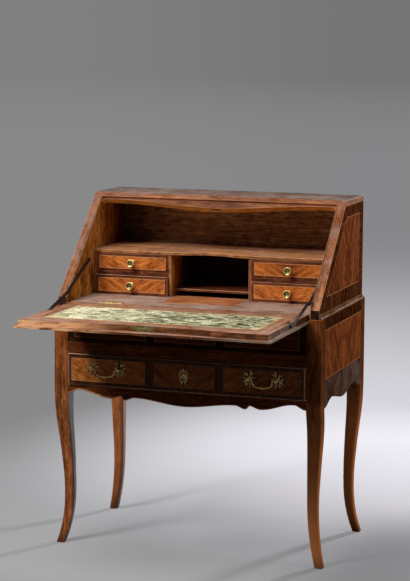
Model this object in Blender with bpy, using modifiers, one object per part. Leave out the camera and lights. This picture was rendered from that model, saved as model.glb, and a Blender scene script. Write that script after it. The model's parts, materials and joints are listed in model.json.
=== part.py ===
"""Slant-front desk on cabriole legs, with a fitted interior and folding flap stays.

Metres, +Z up, front towards -Y. The desk stands with its flap open flat. Lengths are written
in the case frame, whose origin is on the floor under the middle of the case; one empty then
moves the whole desk so that the model's origin is under the middle of its open outline.
"""
import math

import bmesh
import bpy
from mathutils import Matrix, Vector

# Clearance between pieces that touch
GAP = 0.0003
# Running clearance of sliding and turning pieces
PLAY = 0.0007

# Case
DESK_HEIGHT = 0.970
CASE_WIDTH = 0.765
CASE_DEPTH = 0.458
LOWER_TOP = 0.676
PANEL_THICKNESS = 0.018
POST_WIDTH = 0.040
POST_HEAD = 0.0325
WAIST_HEIGHT = 0.012
WAIST_INSET = 0.0085
WAIST_FOOT = 0.003

# Upper case
FLOOR_RISE = 0.0105
UPPER_WALL = 0.0253
TOP_THICKNESS = 0.016
BACK_THICKNESS = 0.012
SLANT = math.radians(45)

# Flap
HINGE_SETBACK = 0.0235
FLAP_THICKNESS = 0.021
LIP_THICKNESS = 0.006
SIDE_LIP = 0.0092
TOP_BAND = 0.0155
HEADER_THICKNESS = 0.018
HEADER_END_DROP = 0.0205
HEADER_CENTRE_DROP = 0.0404
HEADER_END_FLAT = 0.0362
HEADER_FILLET = 0.014
KEEPER_WIDTH = 0.024
KEEPER_HEIGHT = 0.005
KEEPER_DEPTH = 0.007
LEATHER_SIDE = 0.0443
LEATHER_REAR = 0.068
LEATHER_FRONT = 0.046
LEATHER_THICKNESS = 0.0015
FLAP_LOCK_WIDTH = 0.066
FLAP_LOCK_THICKNESS = 0.0012
FLAP_LOCK_MARGIN = 0.0012
FLAP_BOLT_WIDTH = 0.016
FLAP_BOLT_HEIGHT = 0.003
FLAP_BOLT_SHOW = 0.001

# Flap hinges
HINGE_INSET = 0.1242
HINGE_LENGTH = 0.066
HINGE_LEAF = 0.034
HINGE_THICKNESS = 0.0016
HINGE_BARREL = 0.0025
HINGE_KNUCKLE = 0.028

# Folding stays, seen from the side
STAY_KNEE_REST = 0.007
STAY_PIN_DEPTH = 0.0075
STAY_LOWER_LENGTH = 0.152
STAY_UPPER_LENGTH = 0.165
STAY_SAG = 0.0010
STAY_WIDTH = 0.010
STAY_EYE = 0.0058
STAY_THICKNESS = 0.0027
STAY_PIN = 0.0028
STAY_SOCKET = 0.006

# Well and its sliding cover
COVER_INSET = 0.0095
COVER_SETBACK = 0.0705
COVER_LENGTH = 0.147
COVER_THICKNESS = 0.006
COVER_TRAVEL = 0.120
COVER_LEDGE = 0.010
GRIP_LENGTH = 0.060
GRIP_WIDTH = 0.006
GRIP_DEPTH = 0.002
GRIP_SETBACK = 0.012

# Nest of small drawers, set back from the flap's hinges, with heights above the desk floor
NEST_SETBACK = 0.1805
NEST_BOARD = 0.0080
SHELF_HEIGHT = 0.1265
SHELF_OVERHANG = 0.002
SHELF_HOLLOW = 0.028
NICHE_WIDTH = 0.229
NICHE_FLOOR_HEIGHT = 0.0195
NICHE_FLOOR_THICKNESS = 0.006
NICHE_FLOOR_SETBACK = 0.037
RAIL_HEIGHT = 0.0650
SMALL_FRONT = 0.010
SMALL_WALL = 0.006
SMALL_BACK_SPACE = 0.020
LEFT_DRAWER_AJAR = 0.008
RIGHT_DRAWER_AJAR = 0.004
KNOB_RADIUS = 0.0115
KNOB_LENGTH = 0.021
# Turned outline of a knob, as shares of its length and of its radius
KNOB_PROFILE = (
    (1.00, 0.42), (0.98, 0.72), (0.90, 0.94), (0.78, 1.00), (0.62, 0.94), (0.52, 0.66),
    (0.42, 0.36), (0.20, 0.34), (0.12, 0.66), (0.00, 0.72),
)

# Long drawer and frieze
FRIEZE_HEIGHT = 0.1157
DRAWER_HEIGHT = 0.088
DRAWER_PROUD = 0.005
DRAWER_WALL = 0.010
DRAWER_BASE = 0.006
DRAWER_BACK_SPACE = 0.038
DRAWER_SIDE_INSET = 0.004
DRAWER_SIDE_DROP = 0.010
DRAWER_SIDE_LIFT = 0.0035
RUNNER_THICKNESS = 0.008
RUNNER_GUIDE = 0.018
DUST_BOARD = 0.008

# Drawer furniture
HANDLE_INSET = 0.1156
HANDLE_SPAN = 0.078
HANDLE_LIFT = 0.008
ROSETTE_WIDTH = 0.030
ROSETTE_HEIGHT = 0.044
ROSETTE_THICKNESS = 0.0025
ROSETTE_LOBES = 7
ROSETTE_LOBE_DEPTH = 0.34
ROSETTE_LEAN = math.radians(20)
EAR_REACH = 0.010
EAR_RADIUS = 0.0055
EAR_STEM_RADIUS = 0.00385
BAIL_RADIUS = 0.0022
BAIL_DROP = 0.024
BAIL_STUB_SHORT = 0.0022
BAIL_EAR_SPACE = 0.00275
BAIL_NECK = 0.0066
BAIL_FULLNESS = 0.8
BAIL_KNOP = 1.9
BAIL_KNOP_SPREAD = 1.2
BAIL_STEPS = 8
PLATE_WIDTH = 0.029
PLATE_HEIGHT = 0.048
PLATE_LIFT = 0.002
PLATE_LOBES = 8
PLATE_LOBE_DEPTH = 0.26
KEYHOLE_RADIUS = 0.0028
KEYHOLE_SLOT = 0.009

# Shaped lower edges: distance from the middle, drop below the apron's top
APRON_SPACE = 0.002
APRON_KNOTS = (
    (0.000, 0.0380),
    (0.143, 0.0238),
    (0.172, 0.0320),
    (0.182, 0.0220),
    (0.214, 0.0303),
    (0.306, 0.0115),
    (0.3382, 0.0235),
)
SIDE_APRON_KNOTS = (
    (0.000, 0.0230),
    (0.113, 0.0045),
    (0.1887, 0.0235),
)
BACK_DROP = 0.0095

# Cabriole leg: height, insets of the outer arris from the side and from the front or back, width
KNEE_DROP = 0.0245
LEG_KNOTS = (
    (0.000, -0.0055, 0.0195, 0.0235),
    (0.045, 0.0058, 0.0290, 0.0247),
    (0.110, 0.0139, 0.0325, 0.0271),
    (0.183, 0.0149, 0.0300, 0.0288),
    (0.278, 0.0083, 0.0215, 0.0339),
    (0.373, 0.0002, 0.0080, 0.0390),
    (0.437, 0.0000, 0.0000, 0.0400),
)
LEG_RINGS = 16
LEG_INNER_ROUND = 0.40
LEG_ARRIS_ROUND = 0.12
LEG_LEAST_ROUND = 0.0004
LEG_CORNER_STEPS = 3

# Fineness of drawn curves
ROUND_SIDES = 20
SMALL_ROUND_SIDES = 16
EDGE_STEPS = 6
WAVE_STEPS = 12
CORNER_STEPS = 5
LOBE_STEPS = 6
EYE_STEPS = 12

# Places that follow from the sizes above
FLOOR_TOP = LOWER_TOP + FLOOR_RISE
HALF_WIDTH = CASE_WIDTH / 2
FRONT = -CASE_DEPTH / 2
BACK = CASE_DEPTH / 2
UPPER_HALF = HALF_WIDTH - WAIST_INSET
UPPER_FRONT = FRONT + WAIST_INSET
INNER = UPPER_HALF - UPPER_WALL
POST_INNER = HALF_WIDTH - POST_WIDTH
HEAD_INNER = HALF_WIDTH - POST_HEAD
SHOULDER = FLOOR_TOP - FLAP_THICKNESS - 3 * GAP
FLOOR_BOTTOM = SHOULDER + GAP
TOP_UNDER = DESK_HEIGHT - TOP_THICKNESS
AXIS_Y = FRONT + HINGE_SETBACK
UP_SLOPE = Vector((0.0, math.cos(SLANT), math.sin(SLANT)))
OUT_OF_SLOPE = Vector((0.0, -math.sin(SLANT), math.cos(SLANT)))
AXIS = Vector((0.0, AXIS_Y, FLOOR_TOP))
SLOPE_LENGTH = (DESK_HEIGHT - FLOOR_TOP - FLAP_THICKNESS * math.cos(SLANT)) / math.sin(SLANT)
LIP_HALF = INNER - PLAY
BODY_HALF = LIP_HALF - SIDE_LIP
BODY_THICKNESS = FLAP_THICKNESS - LIP_THICKNESS
LIP_END = SLOPE_LENGTH - TOP_BAND - PLAY
BODY_END = SLOPE_LENGTH - HEADER_CENTRE_DROP - FLAP_LOCK_THICKNESS - 3 * PLAY
FLAP_REAR = PLAY
OPEN_FRONT = AXIS_Y - LIP_END
SHIFT = -(OPEN_FRONT + BACK) / 2
LEATHER_HALF = BODY_HALF - LEATHER_SIDE
HINGE_CENTRE = INNER - HINGE_INSET
STAY_FLAP_PIN = STAY_LOWER_LENGTH + STAY_KNEE_REST
NEST_BACK = BACK - BACK_THICKNESS - 2 * GAP
NEST_FRONT = AXIS_Y + NEST_SETBACK
NICHE_HALF = NICHE_WIDTH / 2
NICHE_FLOOR_TOP = FLOOR_TOP + NICHE_FLOOR_HEIGHT
NICHE_FLOOR_FRONT = NEST_FRONT + NICHE_FLOOR_SETBACK
CHEEK_INNER = INNER - GAP - NEST_BOARD
SHELF_TOP = FLOOR_TOP + SHELF_HEIGHT
SHELF_UNDER = SHELF_TOP - NEST_BOARD
RAIL_TOP = FLOOR_TOP + RAIL_HEIGHT
RAIL_UNDER = RAIL_TOP - NEST_BOARD
COVER_HALF = NICHE_HALF - COVER_INSET
COVER_FRONT = AXIS_Y + COVER_SETBACK
FRIEZE_TOP = SHOULDER - GAP
FRIEZE_BOTTOM = FRIEZE_TOP - FRIEZE_HEIGHT
DRAWER_TOP = FRIEZE_BOTTOM - 3 * PLAY
DRAWER_BOTTOM = DRAWER_TOP - DRAWER_HEIGHT
DRAWER_MIDDLE = (DRAWER_TOP + DRAWER_BOTTOM) / 2
DRAWER_FACE = FRONT - DRAWER_PROUD
FRONT_HALF = POST_INNER - 2 * PLAY
HANDLE_CENTRE = FRONT_HALF - HANDLE_INSET
HANDLE_HEIGHT = DRAWER_MIDDLE + HANDLE_LIFT
APRON_TOP = DRAWER_BOTTOM - APRON_SPACE
KNEE_HEIGHT = APRON_TOP - KNEE_DROP


def clear_scene():
    for old in list(bpy.data.objects):
        bpy.data.objects.remove(old, do_unlink=True)


def new_collection(name):
    group = bpy.data.collections.new(name)
    bpy.context.scene.collection.children.link(group)
    return group


def new_material(name, colour, roughness, metallic=0.0):
    made = bpy.data.materials.new(name)
    made.use_nodes = True
    shader = made.node_tree.nodes["Principled BSDF"]
    shader.inputs["Base Color"].default_value = (*colour, 1.0)
    shader.inputs["Roughness"].default_value = roughness
    shader.inputs["Metallic"].default_value = metallic
    return made


clear_scene()
PARTS = new_collection("slant_front_desk")
CUTTERS = new_collection("cutters")

VENEER = new_material("rosewood_veneer", (0.36, 0.13, 0.05), 0.35)
BANDING = new_material("dark_crossbanding", (0.10, 0.04, 0.02), 0.35)
INTERIOR = new_material("interior_wood", (0.16, 0.08, 0.03), 0.5)
OAK = new_material("plain_oak", (0.28, 0.17, 0.08), 0.7)
LEATHER = new_material("worn_leather", (0.45, 0.46, 0.32), 0.6)
BRASS = new_material("aged_brass", (0.55, 0.42, 0.20), 0.35, 1.0)
IRON = new_material("dark_iron", (0.05, 0.04, 0.035), 0.5, 1.0)


def new_empty(name, place, parent=None):
    empty = bpy.data.objects.new(name, None)
    PARTS.objects.link(empty)
    empty.parent = parent
    base = Vector(parent["case_place"]) if parent else Vector()
    empty["case_place"] = place
    empty.location = Vector(place) - base
    return empty


DESK = new_empty("desk", (0.0, 0.0, 0.0))
DESK.location.y = SHIFT
FLAP = new_empty("flap_axis", AXIS, DESK)
LONG_DRAWER = new_empty("long_drawer_slide", (0.0, FRONT, DRAWER_BOTTOM), DESK)


def settle(obj, name, place, carrier, material):
    """Name an object, put it in the desk's collection and hang it on its carrier."""
    obj.name = name
    obj.data.name = name
    for group in list(obj.users_collection):
        group.objects.unlink(obj)
    home = CUTTERS if material is None else PARTS
    home.objects.link(obj)
    obj.parent = carrier
    obj.location = Vector(place) - Vector(carrier["case_place"])
    if material is None:
        obj.hide_render = True
        obj.display_type = "WIRE"
    else:
        obj.data.materials.clear()
        obj.data.materials.append(material)
    return obj


def soften(obj, width, segments=1):
    bevel = obj.modifiers.new("edge", "BEVEL")
    bevel.width = width
    bevel.segments = segments
    bevel.limit_method = "ANGLE"
    bevel.angle_limit = math.radians(40)
    return obj


def add_box(name, low, high, carrier, material, edge=0.0):
    """A board or block between two corners of the case frame."""
    low = Vector(low)
    high = Vector(high)
    bpy.ops.mesh.primitive_cube_add(size=1.0)
    obj = bpy.context.object
    obj.data.transform(Matrix.Diagonal((*(high - low), 1.0)))
    settle(obj, name, (low + high) / 2, carrier, material)
    if edge:
        soften(obj, edge)
    return obj


def add_rod(name, start, end, radius, carrier, material, sides=ROUND_SIDES):
    """A round rod between two points of the case frame."""
    start = Vector(start)
    end = Vector(end)
    along = end - start
    bpy.ops.mesh.primitive_cylinder_add(vertices=sides, radius=radius, depth=along.length)
    obj = bpy.context.object
    obj.data.transform(along.to_track_quat("Z", "Y").to_matrix().to_4x4())
    return settle(obj, name, (start + end) / 2, carrier, material)


FACING_SIDE = Matrix(((0, 0, 1), (1, 0, 0), (0, 1, 0)))
FACING_FRONT = Matrix(((1, 0, 0), (0, 0, -1), (0, 1, 0)))
FACING_UP = Matrix.Identity(3)
FACING_SLOPE = Matrix((Vector((1, 0, 0)), UP_SLOPE, OUT_OF_SLOPE)).transposed()


def add_plate(name, outline, thickness, facing, place, carrier, material):
    """A flat outline given a thickness. Its own plane is turned by facing."""
    flat = bpy.data.curves.new(name + "_outline", "CURVE")
    flat.dimensions = "2D"
    flat.fill_mode = "BOTH"
    flat.extrude = thickness / 2
    spline = flat.splines.new("POLY")
    spline.points.add(len(outline) - 1)
    for point, (across, up) in zip(spline.points, outline):
        point.co = (across, up, 0.0, 1.0)
    spline.use_cyclic_u = True
    drawn = bpy.data.objects.new(name + "_outline", flat)
    CUTTERS.objects.link(drawn)
    bpy.context.view_layer.update()
    solid = as_mesh(drawn)
    solid.transform(facing.to_4x4())
    return settle(bpy.data.objects.new(name, solid), name, place, carrier, material)


def as_mesh(curve_object):
    """The closed mesh of a curve object, which is then removed."""
    graph = bpy.context.evaluated_depsgraph_get()
    solid = bpy.data.meshes.new_from_object(curve_object.evaluated_get(graph))
    weld = bmesh.new()
    weld.from_mesh(solid)
    bmesh.ops.remove_doubles(weld, verts=weld.verts, dist=1e-6)
    bmesh.ops.recalc_face_normals(weld, faces=weld.faces)
    weld.to_mesh(solid)
    weld.free()
    drawing = curve_object.data
    bpy.data.objects.remove(curve_object)
    bpy.data.curves.remove(drawing)
    return solid


def add_wire(name, points, radius, place, carrier, material, swell=None):
    """A bent wire of round section. swell scales the radius at each point."""
    wire = bpy.data.curves.new(name + "_line", "CURVE")
    wire.dimensions = "3D"
    wire.bevel_depth = radius
    wire.bevel_resolution = 2
    wire.use_fill_caps = True
    spline = wire.splines.new("POLY")
    spline.points.add(len(points) - 1)
    for index, point in enumerate(points):
        spline.points[index].co = (*point, 1.0)
        if swell:
            spline.points[index].radius = swell[index]
    drawn = bpy.data.objects.new(name + "_line", wire)
    CUTTERS.objects.link(drawn)
    bpy.context.view_layer.update()
    obj = settle(bpy.data.objects.new(name, as_mesh(drawn)), name, place, carrier, material)
    obj.data.shade_smooth()
    return obj


def combine(obj, tool, operation):
    step = obj.modifiers.new(operation.lower() + "_" + tool.name, "BOOLEAN")
    step.operation = operation
    step.solver = "EXACT"
    step.object = tool
    return obj


def cut(obj, tool):
    return combine(obj, tool, "DIFFERENCE")


def join(obj, tool):
    return combine(obj, tool, "UNION")


def shaped_edge(knots, half):
    """A lower edge that levels out at each of its knots, stretched to half the span between posts."""
    stretch = half / knots[-1][0]
    placed = [(across * stretch, APRON_TOP - drop) for across, drop in knots]
    points = []
    for (start, low), (end, high) in zip(placed, placed[1:]):
        for step in range(EDGE_STEPS):
            share = step / EDGE_STEPS
            ease = (1 - math.cos(math.pi * share)) / 2
            points.append((start + (end - start) * share, low + (high - low) * ease))
    points.append(placed[-1])
    return both_ways(points)


def both_ways(half):
    """A half outline, from its middle outwards, continued on the other side."""
    return [(-across, up) for across, up in reversed(half[1:])] + list(half)


def arc(centre, radius, start, end, steps):
    points = []
    for step in range(steps + 1):
        angle = start + (end - start) * step / steps
        points.append((centre[0] + radius * math.cos(angle), centre[1] + radius * math.sin(angle)))
    return points


SIDES = (("left", -1), ("right", 1))


# Legs: each is one piece from the foot to the post's head
def leg_section(height):
    """Insets of the outer arris and width of the section, eased between the leg's knots."""
    if height >= KNEE_HEIGHT:
        return LEG_KNOTS[-1][1], LEG_KNOTS[-1][2], POST_WIDTH
    height *= LEG_KNOTS[-1][0] / KNEE_HEIGHT
    index = max(i for i, knot in enumerate(LEG_KNOTS) if knot[0] <= height)
    before = LEG_KNOTS[max(index - 1, 0)]
    start = LEG_KNOTS[index]
    end = LEG_KNOTS[index + 1]
    after = LEG_KNOTS[min(index + 2, len(LEG_KNOTS) - 1)]
    span = end[0] - start[0]
    share = (height - start[0]) / span
    values = []
    for axis in (1, 2, 3):
        slope_in = (end[axis] - before[axis]) / (end[0] - before[0])
        slope_out = (after[axis] - start[axis]) / (after[0] - start[0])
        values.append(
            (2 * share**3 - 3 * share**2 + 1) * start[axis]
            + (share**3 - 2 * share**2 + share) * span * slope_in
            + (3 * share**2 - 2 * share**3) * end[axis]
            + (share**3 - share**2) * span * slope_out
        )
    return values[0], values[1], values[2] * POST_WIDTH / LEG_KNOTS[-1][3]


def leg_ring(height, rounding):
    """The section's outline, from the outer arris at (0, 0) inwards to (width, width)."""
    beside, before, width = leg_section(height)
    arris = max(LEG_ARRIS_ROUND * width * rounding, LEG_LEAST_ROUND)
    inner = max(LEG_INNER_ROUND * width * rounding, LEG_LEAST_ROUND)
    corners = (
        ((arris, arris), arris, math.pi),
        ((width - inner / 2, inner / 2), inner / 2, 1.5 * math.pi),
        ((width - inner, width - inner), inner, 0.0),
        ((inner / 2, width - inner / 2), inner / 2, 0.5 * math.pi),
    )
    outline = []
    for centre, radius, start in corners:
        outline += arc(centre, radius, start, start + math.pi / 2, LEG_CORNER_STEPS)
    return [(beside + across, before + along) for across, along in outline]


def add_leg(name, side, end):
    """A loft of rounded sections, mirrored to its corner of the case."""
    shares = [step / LEG_RINGS for step in range(LEG_RINGS + 1)]
    rings = [(KNEE_HEIGHT * share, leg_ring(KNEE_HEIGHT * share, 1 - share**4)) for share in shares]
    rings.append((LOWER_TOP - GAP, leg_ring(LOWER_TOP, 0.0)))
    corner = Vector((side * HALF_WIDTH, end * BACK, 0.0))
    leg = bmesh.new()
    rows = []
    for height, outline in rings:
        rows.append([leg.verts.new((-side * x, -end * y, height)) for x, y in outline])
    count = len(rows[0])
    for lower, upper in zip(rows, rows[1:]):
        for i in range(count):
            after = (i + 1) % count
            leg.faces.new((lower[i], lower[after], upper[after], upper[i]))
    leg.faces.new(rows[0])
    leg.faces.new(rows[-1])
    bmesh.ops.recalc_face_normals(leg, faces=leg.faces)
    solid = bpy.data.meshes.new(name)
    leg.to_mesh(solid)
    leg.free()
    solid.shade_smooth()
    solid.set_sharp_from_angle(angle=math.radians(40))
    obj = settle(bpy.data.objects.new(name, solid), name, corner, DESK, VENEER)
    notch_low = (min(side * HEAD_INNER, 0.0), min(end * FRONT, end * BACK), SHOULDER)
    notch_high = (max(side * HEAD_INNER, 0.0), max(end * FRONT, end * BACK), LOWER_TOP + GAP)
    grow = Vector((0.0, GAP, 0.0))
    notch = add_box(name + "_notch", Vector(notch_low) - grow, Vector(notch_high) + grow, DESK, None)
    return cut(obj, notch)


for side_name, side in SIDES:
    add_leg("front_leg_" + side_name, side, -1)
    add_leg("back_leg_" + side_name, side, 1)


# Lower case: panels between the posts
def add_lower_side(side_name, side):
    reach = CASE_DEPTH / 2 - POST_WIDTH - GAP
    outline = shaped_edge(SIDE_APRON_KNOTS, reach)
    outline += [(reach, LOWER_TOP - GAP), (-reach, LOWER_TOP - GAP)]
    middle = (side * (HALF_WIDTH - PANEL_THICKNESS / 2), 0.0, 0.0)
    add_plate("lower_side_" + side_name, outline, PANEL_THICKNESS, FACING_SIDE, middle, DESK, VENEER)


for side_name, side in SIDES:
    add_lower_side(side_name, side)

RAIL_HALF = POST_INNER - GAP
apron_outline = shaped_edge(APRON_KNOTS, RAIL_HALF)
apron_outline += [(RAIL_HALF, APRON_TOP), (-RAIL_HALF, APRON_TOP)]
add_plate(
    "front_apron", apron_outline, PANEL_THICKNESS, FACING_FRONT,
    (0.0, FRONT + PANEL_THICKNESS / 2, 0.0), DESK, VENEER,
)

BEHIND_FRIEZE = FRONT + PANEL_THICKNESS + GAP
add_box(
    "frieze_rail", (-RAIL_HALF, FRONT, FRIEZE_BOTTOM),
    (RAIL_HALF, FRONT + PANEL_THICKNESS, FRIEZE_TOP), DESK, VENEER,
)
add_box(
    "lower_back", (-RAIL_HALF, BACK - BACK_THICKNESS, APRON_TOP - BACK_DROP),
    (RAIL_HALF, BACK - GAP, FRIEZE_TOP), DESK, OAK,
)
add_box(
    "well_floor", (-RAIL_HALF, BEHIND_FRIEZE, FRIEZE_BOTTOM),
    (RAIL_HALF, BACK - BACK_THICKNESS - GAP, FRIEZE_BOTTOM + DUST_BOARD), DESK, OAK,
)

SIDE_OUTER = POST_INNER - DRAWER_SIDE_INSET
SIDE_INNER = SIDE_OUTER - DRAWER_WALL
SIDE_BOTTOM = DRAWER_BOTTOM + DRAWER_SIDE_LIFT
RUNNER_TOP = SIDE_BOTTOM - GAP


def add_runner(side_name, side):
    """A ledge under the drawer's side, with a guide that keeps the drawer straight."""
    outer = HALF_WIDTH - PANEL_THICKNESS - GAP
    base = RUNNER_TOP - RUNNER_THICKNESS
    profile = [
        (SIDE_INNER, base), (outer, base), (outer, RUNNER_TOP + RUNNER_GUIDE),
        (SIDE_OUTER + PLAY, RUNNER_TOP + RUNNER_GUIDE), (SIDE_OUTER + PLAY, RUNNER_TOP),
        (SIDE_INNER, RUNNER_TOP),
    ]
    profile = [(side * across, up) for across, up in profile]
    length = CASE_DEPTH - 2 * POST_WIDTH - 2 * GAP
    add_plate("drawer_runner_" + side_name, profile, length, FACING_FRONT, (0, 0, 0), DESK, OAK)


for side_name, side in SIDES:
    add_runner(side_name, side)


def add_waist_moulding(side_name, side):
    """A hollow moulding that covers the step between the two cases."""
    foot = LOWER_TOP
    head = LOWER_TOP + WAIST_HEIGHT
    root = UPPER_HALF + GAP
    profile = [(root, foot), (HALF_WIDTH, foot), (HALF_WIDTH, foot + WAIST_FOOT)]
    for step in range(1, EDGE_STEPS):
        turn = math.pi / 2 * step / EDGE_STEPS
        across = HALF_WIDTH - (WAIST_INSET - 3 * GAP) * math.sin(turn)
        up = head - (WAIST_HEIGHT - WAIST_FOOT) * math.cos(turn)
        profile.append((across, up))
    profile += [(root + 2 * GAP, head), (root, head)]
    profile = [(side * across, up) for across, up in profile]
    length = BACK - UPPER_FRONT
    middle = (0.0, (BACK + UPPER_FRONT) / 2, 0.0)
    add_plate("waist_moulding_" + side_name, profile, length, FACING_FRONT, middle, DESK, BANDING)


for side_name, side in SIDES:
    add_waist_moulding(side_name, side)


# Upper case
def on_slope(along, depth):
    """Y and Z of a point up the slope from the hinge axis and inwards from the closed face."""
    point = AXIS + UP_SLOPE * along + OUT_OF_SLOPE * (FLAP_THICKNESS - depth)
    return point.y, point.z


def slope_at_height(height, depth=0.0):
    """Y of the slanted plane at a height."""
    base_y, base_z = on_slope(0.0, depth)
    return base_y + (height - base_z) / math.tan(SLANT)


def slope_at_front(front, depth=0.0):
    """Height of the slanted plane above a line across the desk."""
    base_y, base_z = on_slope(0.0, depth)
    return base_z + (front - base_y) * math.tan(SLANT)


# Pivots of the folding stays in the plane of motion
def stay_points():
    """The flap pin, the wall pivot and the knee, with the flap open."""
    pin = Vector((AXIS_Y - STAY_FLAP_PIN, FLOOR_TOP - STAY_PIN_DEPTH))
    shut_knee = Vector(on_slope(STAY_FLAP_PIN - STAY_LOWER_LENGTH, FLAP_THICKNESS - STAY_PIN_DEPTH))
    reach = STAY_LOWER_LENGTH + STAY_UPPER_LENGTH - STAY_SAG
    between = shut_knee - pin
    base = between.length
    cosine = (reach**2 + base**2 - STAY_UPPER_LENGTH**2) / (2 * reach * base)
    heading = math.atan2(between.y, between.x) + math.acos(cosine)
    pivot = pin + reach * Vector((math.cos(heading), math.sin(heading)))
    bend = (reach**2 + STAY_LOWER_LENGTH**2 - STAY_UPPER_LENGTH**2) / (2 * reach * STAY_LOWER_LENGTH)
    knee_heading = heading - math.acos(bend)
    knee = pin + STAY_LOWER_LENGTH * Vector((math.cos(knee_heading), math.sin(knee_heading)))
    return pin, pivot, knee


FLAP_PIN, WALL_PIVOT, KNEE = stay_points()
WALL_PIN_HEAD = INNER + STAY_SOCKET
FLAP_PIN_HEAD = BODY_HALF - STAY_SOCKET


def add_upper_side(side_name, side):
    """A side with its slanted front edge and a socket for the stay's wall pin."""
    outline = [
        (UPPER_FRONT, LOWER_TOP), (BACK, LOWER_TOP), (BACK, TOP_UNDER - GAP),
        (slope_at_height(TOP_UNDER - GAP), TOP_UNDER - GAP), (UPPER_FRONT, slope_at_front(UPPER_FRONT)),
    ]
    middle = (side * (UPPER_HALF - UPPER_WALL / 2), 0.0, 0.0)
    name = "upper_side_" + side_name
    panel = add_plate(name, outline, UPPER_WALL, FACING_SIDE, middle, DESK, VENEER)
    socket = add_rod(
        name + "_socket", (side * (INNER - GAP), *WALL_PIVOT), (side * (WALL_PIN_HEAD + GAP), *WALL_PIVOT),
        STAY_PIN + GAP, DESK, None,
    )
    cut(panel, socket)


for side_name, side in SIDES:
    add_upper_side(side_name, side)

LIP_REBATE = LIP_THICKNESS + GAP
top_profile = [
    (slope_at_height(TOP_UNDER), TOP_UNDER), (BACK, TOP_UNDER), (BACK, DESK_HEIGHT),
    (slope_at_height(DESK_HEIGHT), DESK_HEIGHT),
]
top_board = add_plate("top_board", top_profile, 2 * UPPER_HALF, FACING_SIDE, (0, 0, 0), DESK, VENEER)
rebate_profile = [
    on_slope(SLOPE_LENGTH - TOP_BAND, LIP_REBATE), on_slope(SLOPE_LENGTH - TOP_BAND, -LIP_REBATE),
    on_slope(SLOPE_LENGTH - 3 * TOP_BAND, -LIP_REBATE), on_slope(SLOPE_LENGTH - 3 * TOP_BAND, LIP_REBATE),
]
cut(top_board, add_plate("top_rebate", rebate_profile, 2 * INNER, FACING_SIDE, (0, 0, 0), DESK, None))

add_box(
    "upper_back", (-INNER + GAP, BACK - BACK_THICKNESS, FLOOR_TOP + GAP),
    (INNER - GAP, BACK - GAP, TOP_UNDER - GAP), DESK, INTERIOR,
)


def add_header():
    """The rail under the top, with a serpentine lower edge that rounds into the sides."""
    half = INNER - GAP
    rise = HEADER_CENTRE_DROP - HEADER_END_DROP
    swing = INNER - HEADER_END_FLAT
    low_edge = []
    for step in range(WAVE_STEPS + 1):
        across = (half - HEADER_FILLET) * step / WAVE_STEPS
        wave = (1 + math.cos(math.pi * min(across / swing, 1.0))) / 2
        low_edge.append((across, SLOPE_LENGTH - HEADER_END_DROP - rise * wave))
    corner = (half - HEADER_FILLET, low_edge[-1][1] - HEADER_FILLET)
    low_edge += arc(corner, HEADER_FILLET, math.pi / 2, 0.0, CORNER_STEPS)[1:]
    outline = both_ways(low_edge) + [(half, SLOPE_LENGTH), (-half, SLOPE_LENGTH)]
    depth = LIP_REBATE + HEADER_THICKNESS / 2
    place = AXIS + OUT_OF_SLOPE * (FLAP_THICKNESS - depth)
    rail = add_plate("header_rail", outline, HEADER_THICKNESS, FACING_SLOPE, place, DESK, VENEER)
    over_top = add_box(
        "header_top_cut", (-INNER, AXIS_Y, TOP_UNDER - GAP), (INNER, BACK, DESK_HEIGHT + TOP_THICKNESS),
        DESK, None,
    )
    cut(rail, over_top)
    keeper_outline = [
        (across, SLOPE_LENGTH - HEADER_CENTRE_DROP + reach)
        for across, reach in (
            (-KEEPER_WIDTH / 2, -KEEPER_DEPTH), (KEEPER_WIDTH / 2, -KEEPER_DEPTH),
            (KEEPER_WIDTH / 2, KEEPER_DEPTH), (-KEEPER_WIDTH / 2, KEEPER_DEPTH),
        )
    ]
    keeper = add_plate(
        "header_keeper", keeper_outline, KEEPER_HEIGHT, FACING_SLOPE,
        AXIS + OUT_OF_SLOPE * (BODY_THICKNESS / 2), DESK, None,
    )
    cut(rail, keeper)


add_header()


# Desk floor, its well and the sliding cover
TROUGH_BACK = COVER_FRONT + COVER_LENGTH + COVER_TRAVEL + 2 * PLAY
TROUGH_FLOOR = FLOOR_TOP - COVER_THICKNESS - 2 * GAP
WELL_HALF = COVER_HALF - COVER_LEDGE
WELL_FRONT = COVER_FRONT + COVER_LEDGE
WELL_BACK = COVER_FRONT + COVER_LENGTH - COVER_LEDGE

desk_floor = add_box(
    "desk_floor", (-INNER + GAP, AXIS_Y + GAP, FLOOR_BOTTOM), (INNER - GAP, BACK - GAP, FLOOR_TOP),
    DESK, VENEER,
)
trough = add_box(
    "cover_trough", (-COVER_HALF - PLAY, COVER_FRONT - GAP, TROUGH_FLOOR),
    (COVER_HALF + PLAY, TROUGH_BACK, FLOOR_TOP + GAP), DESK, None,
)
well = add_box(
    "well_mouth", (-WELL_HALF, WELL_FRONT, FLOOR_BOTTOM - GAP), (WELL_HALF, WELL_BACK, FLOOR_TOP), DESK, None,
)
cut(desk_floor, trough)
cut(desk_floor, well)

COVER_SLIDE = new_empty("well_cover_slide", (0.0, COVER_FRONT, TROUGH_FLOOR), DESK)
well_cover = add_box(
    "well_cover", (-COVER_HALF, COVER_FRONT, TROUGH_FLOOR + GAP),
    (COVER_HALF, COVER_FRONT + COVER_LENGTH, FLOOR_TOP - GAP), COVER_SLIDE, INTERIOR,
)
GRIP_FRONT = COVER_FRONT + GRIP_SETBACK
grip = add_box(
    "cover_grip", (-GRIP_LENGTH / 2, GRIP_FRONT, FLOOR_TOP - GAP - GRIP_DEPTH),
    (GRIP_LENGTH / 2, GRIP_FRONT + GRIP_WIDTH, FLOOR_TOP + GAP), COVER_SLIDE, None,
)
cut(well_cover, grip)

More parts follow.
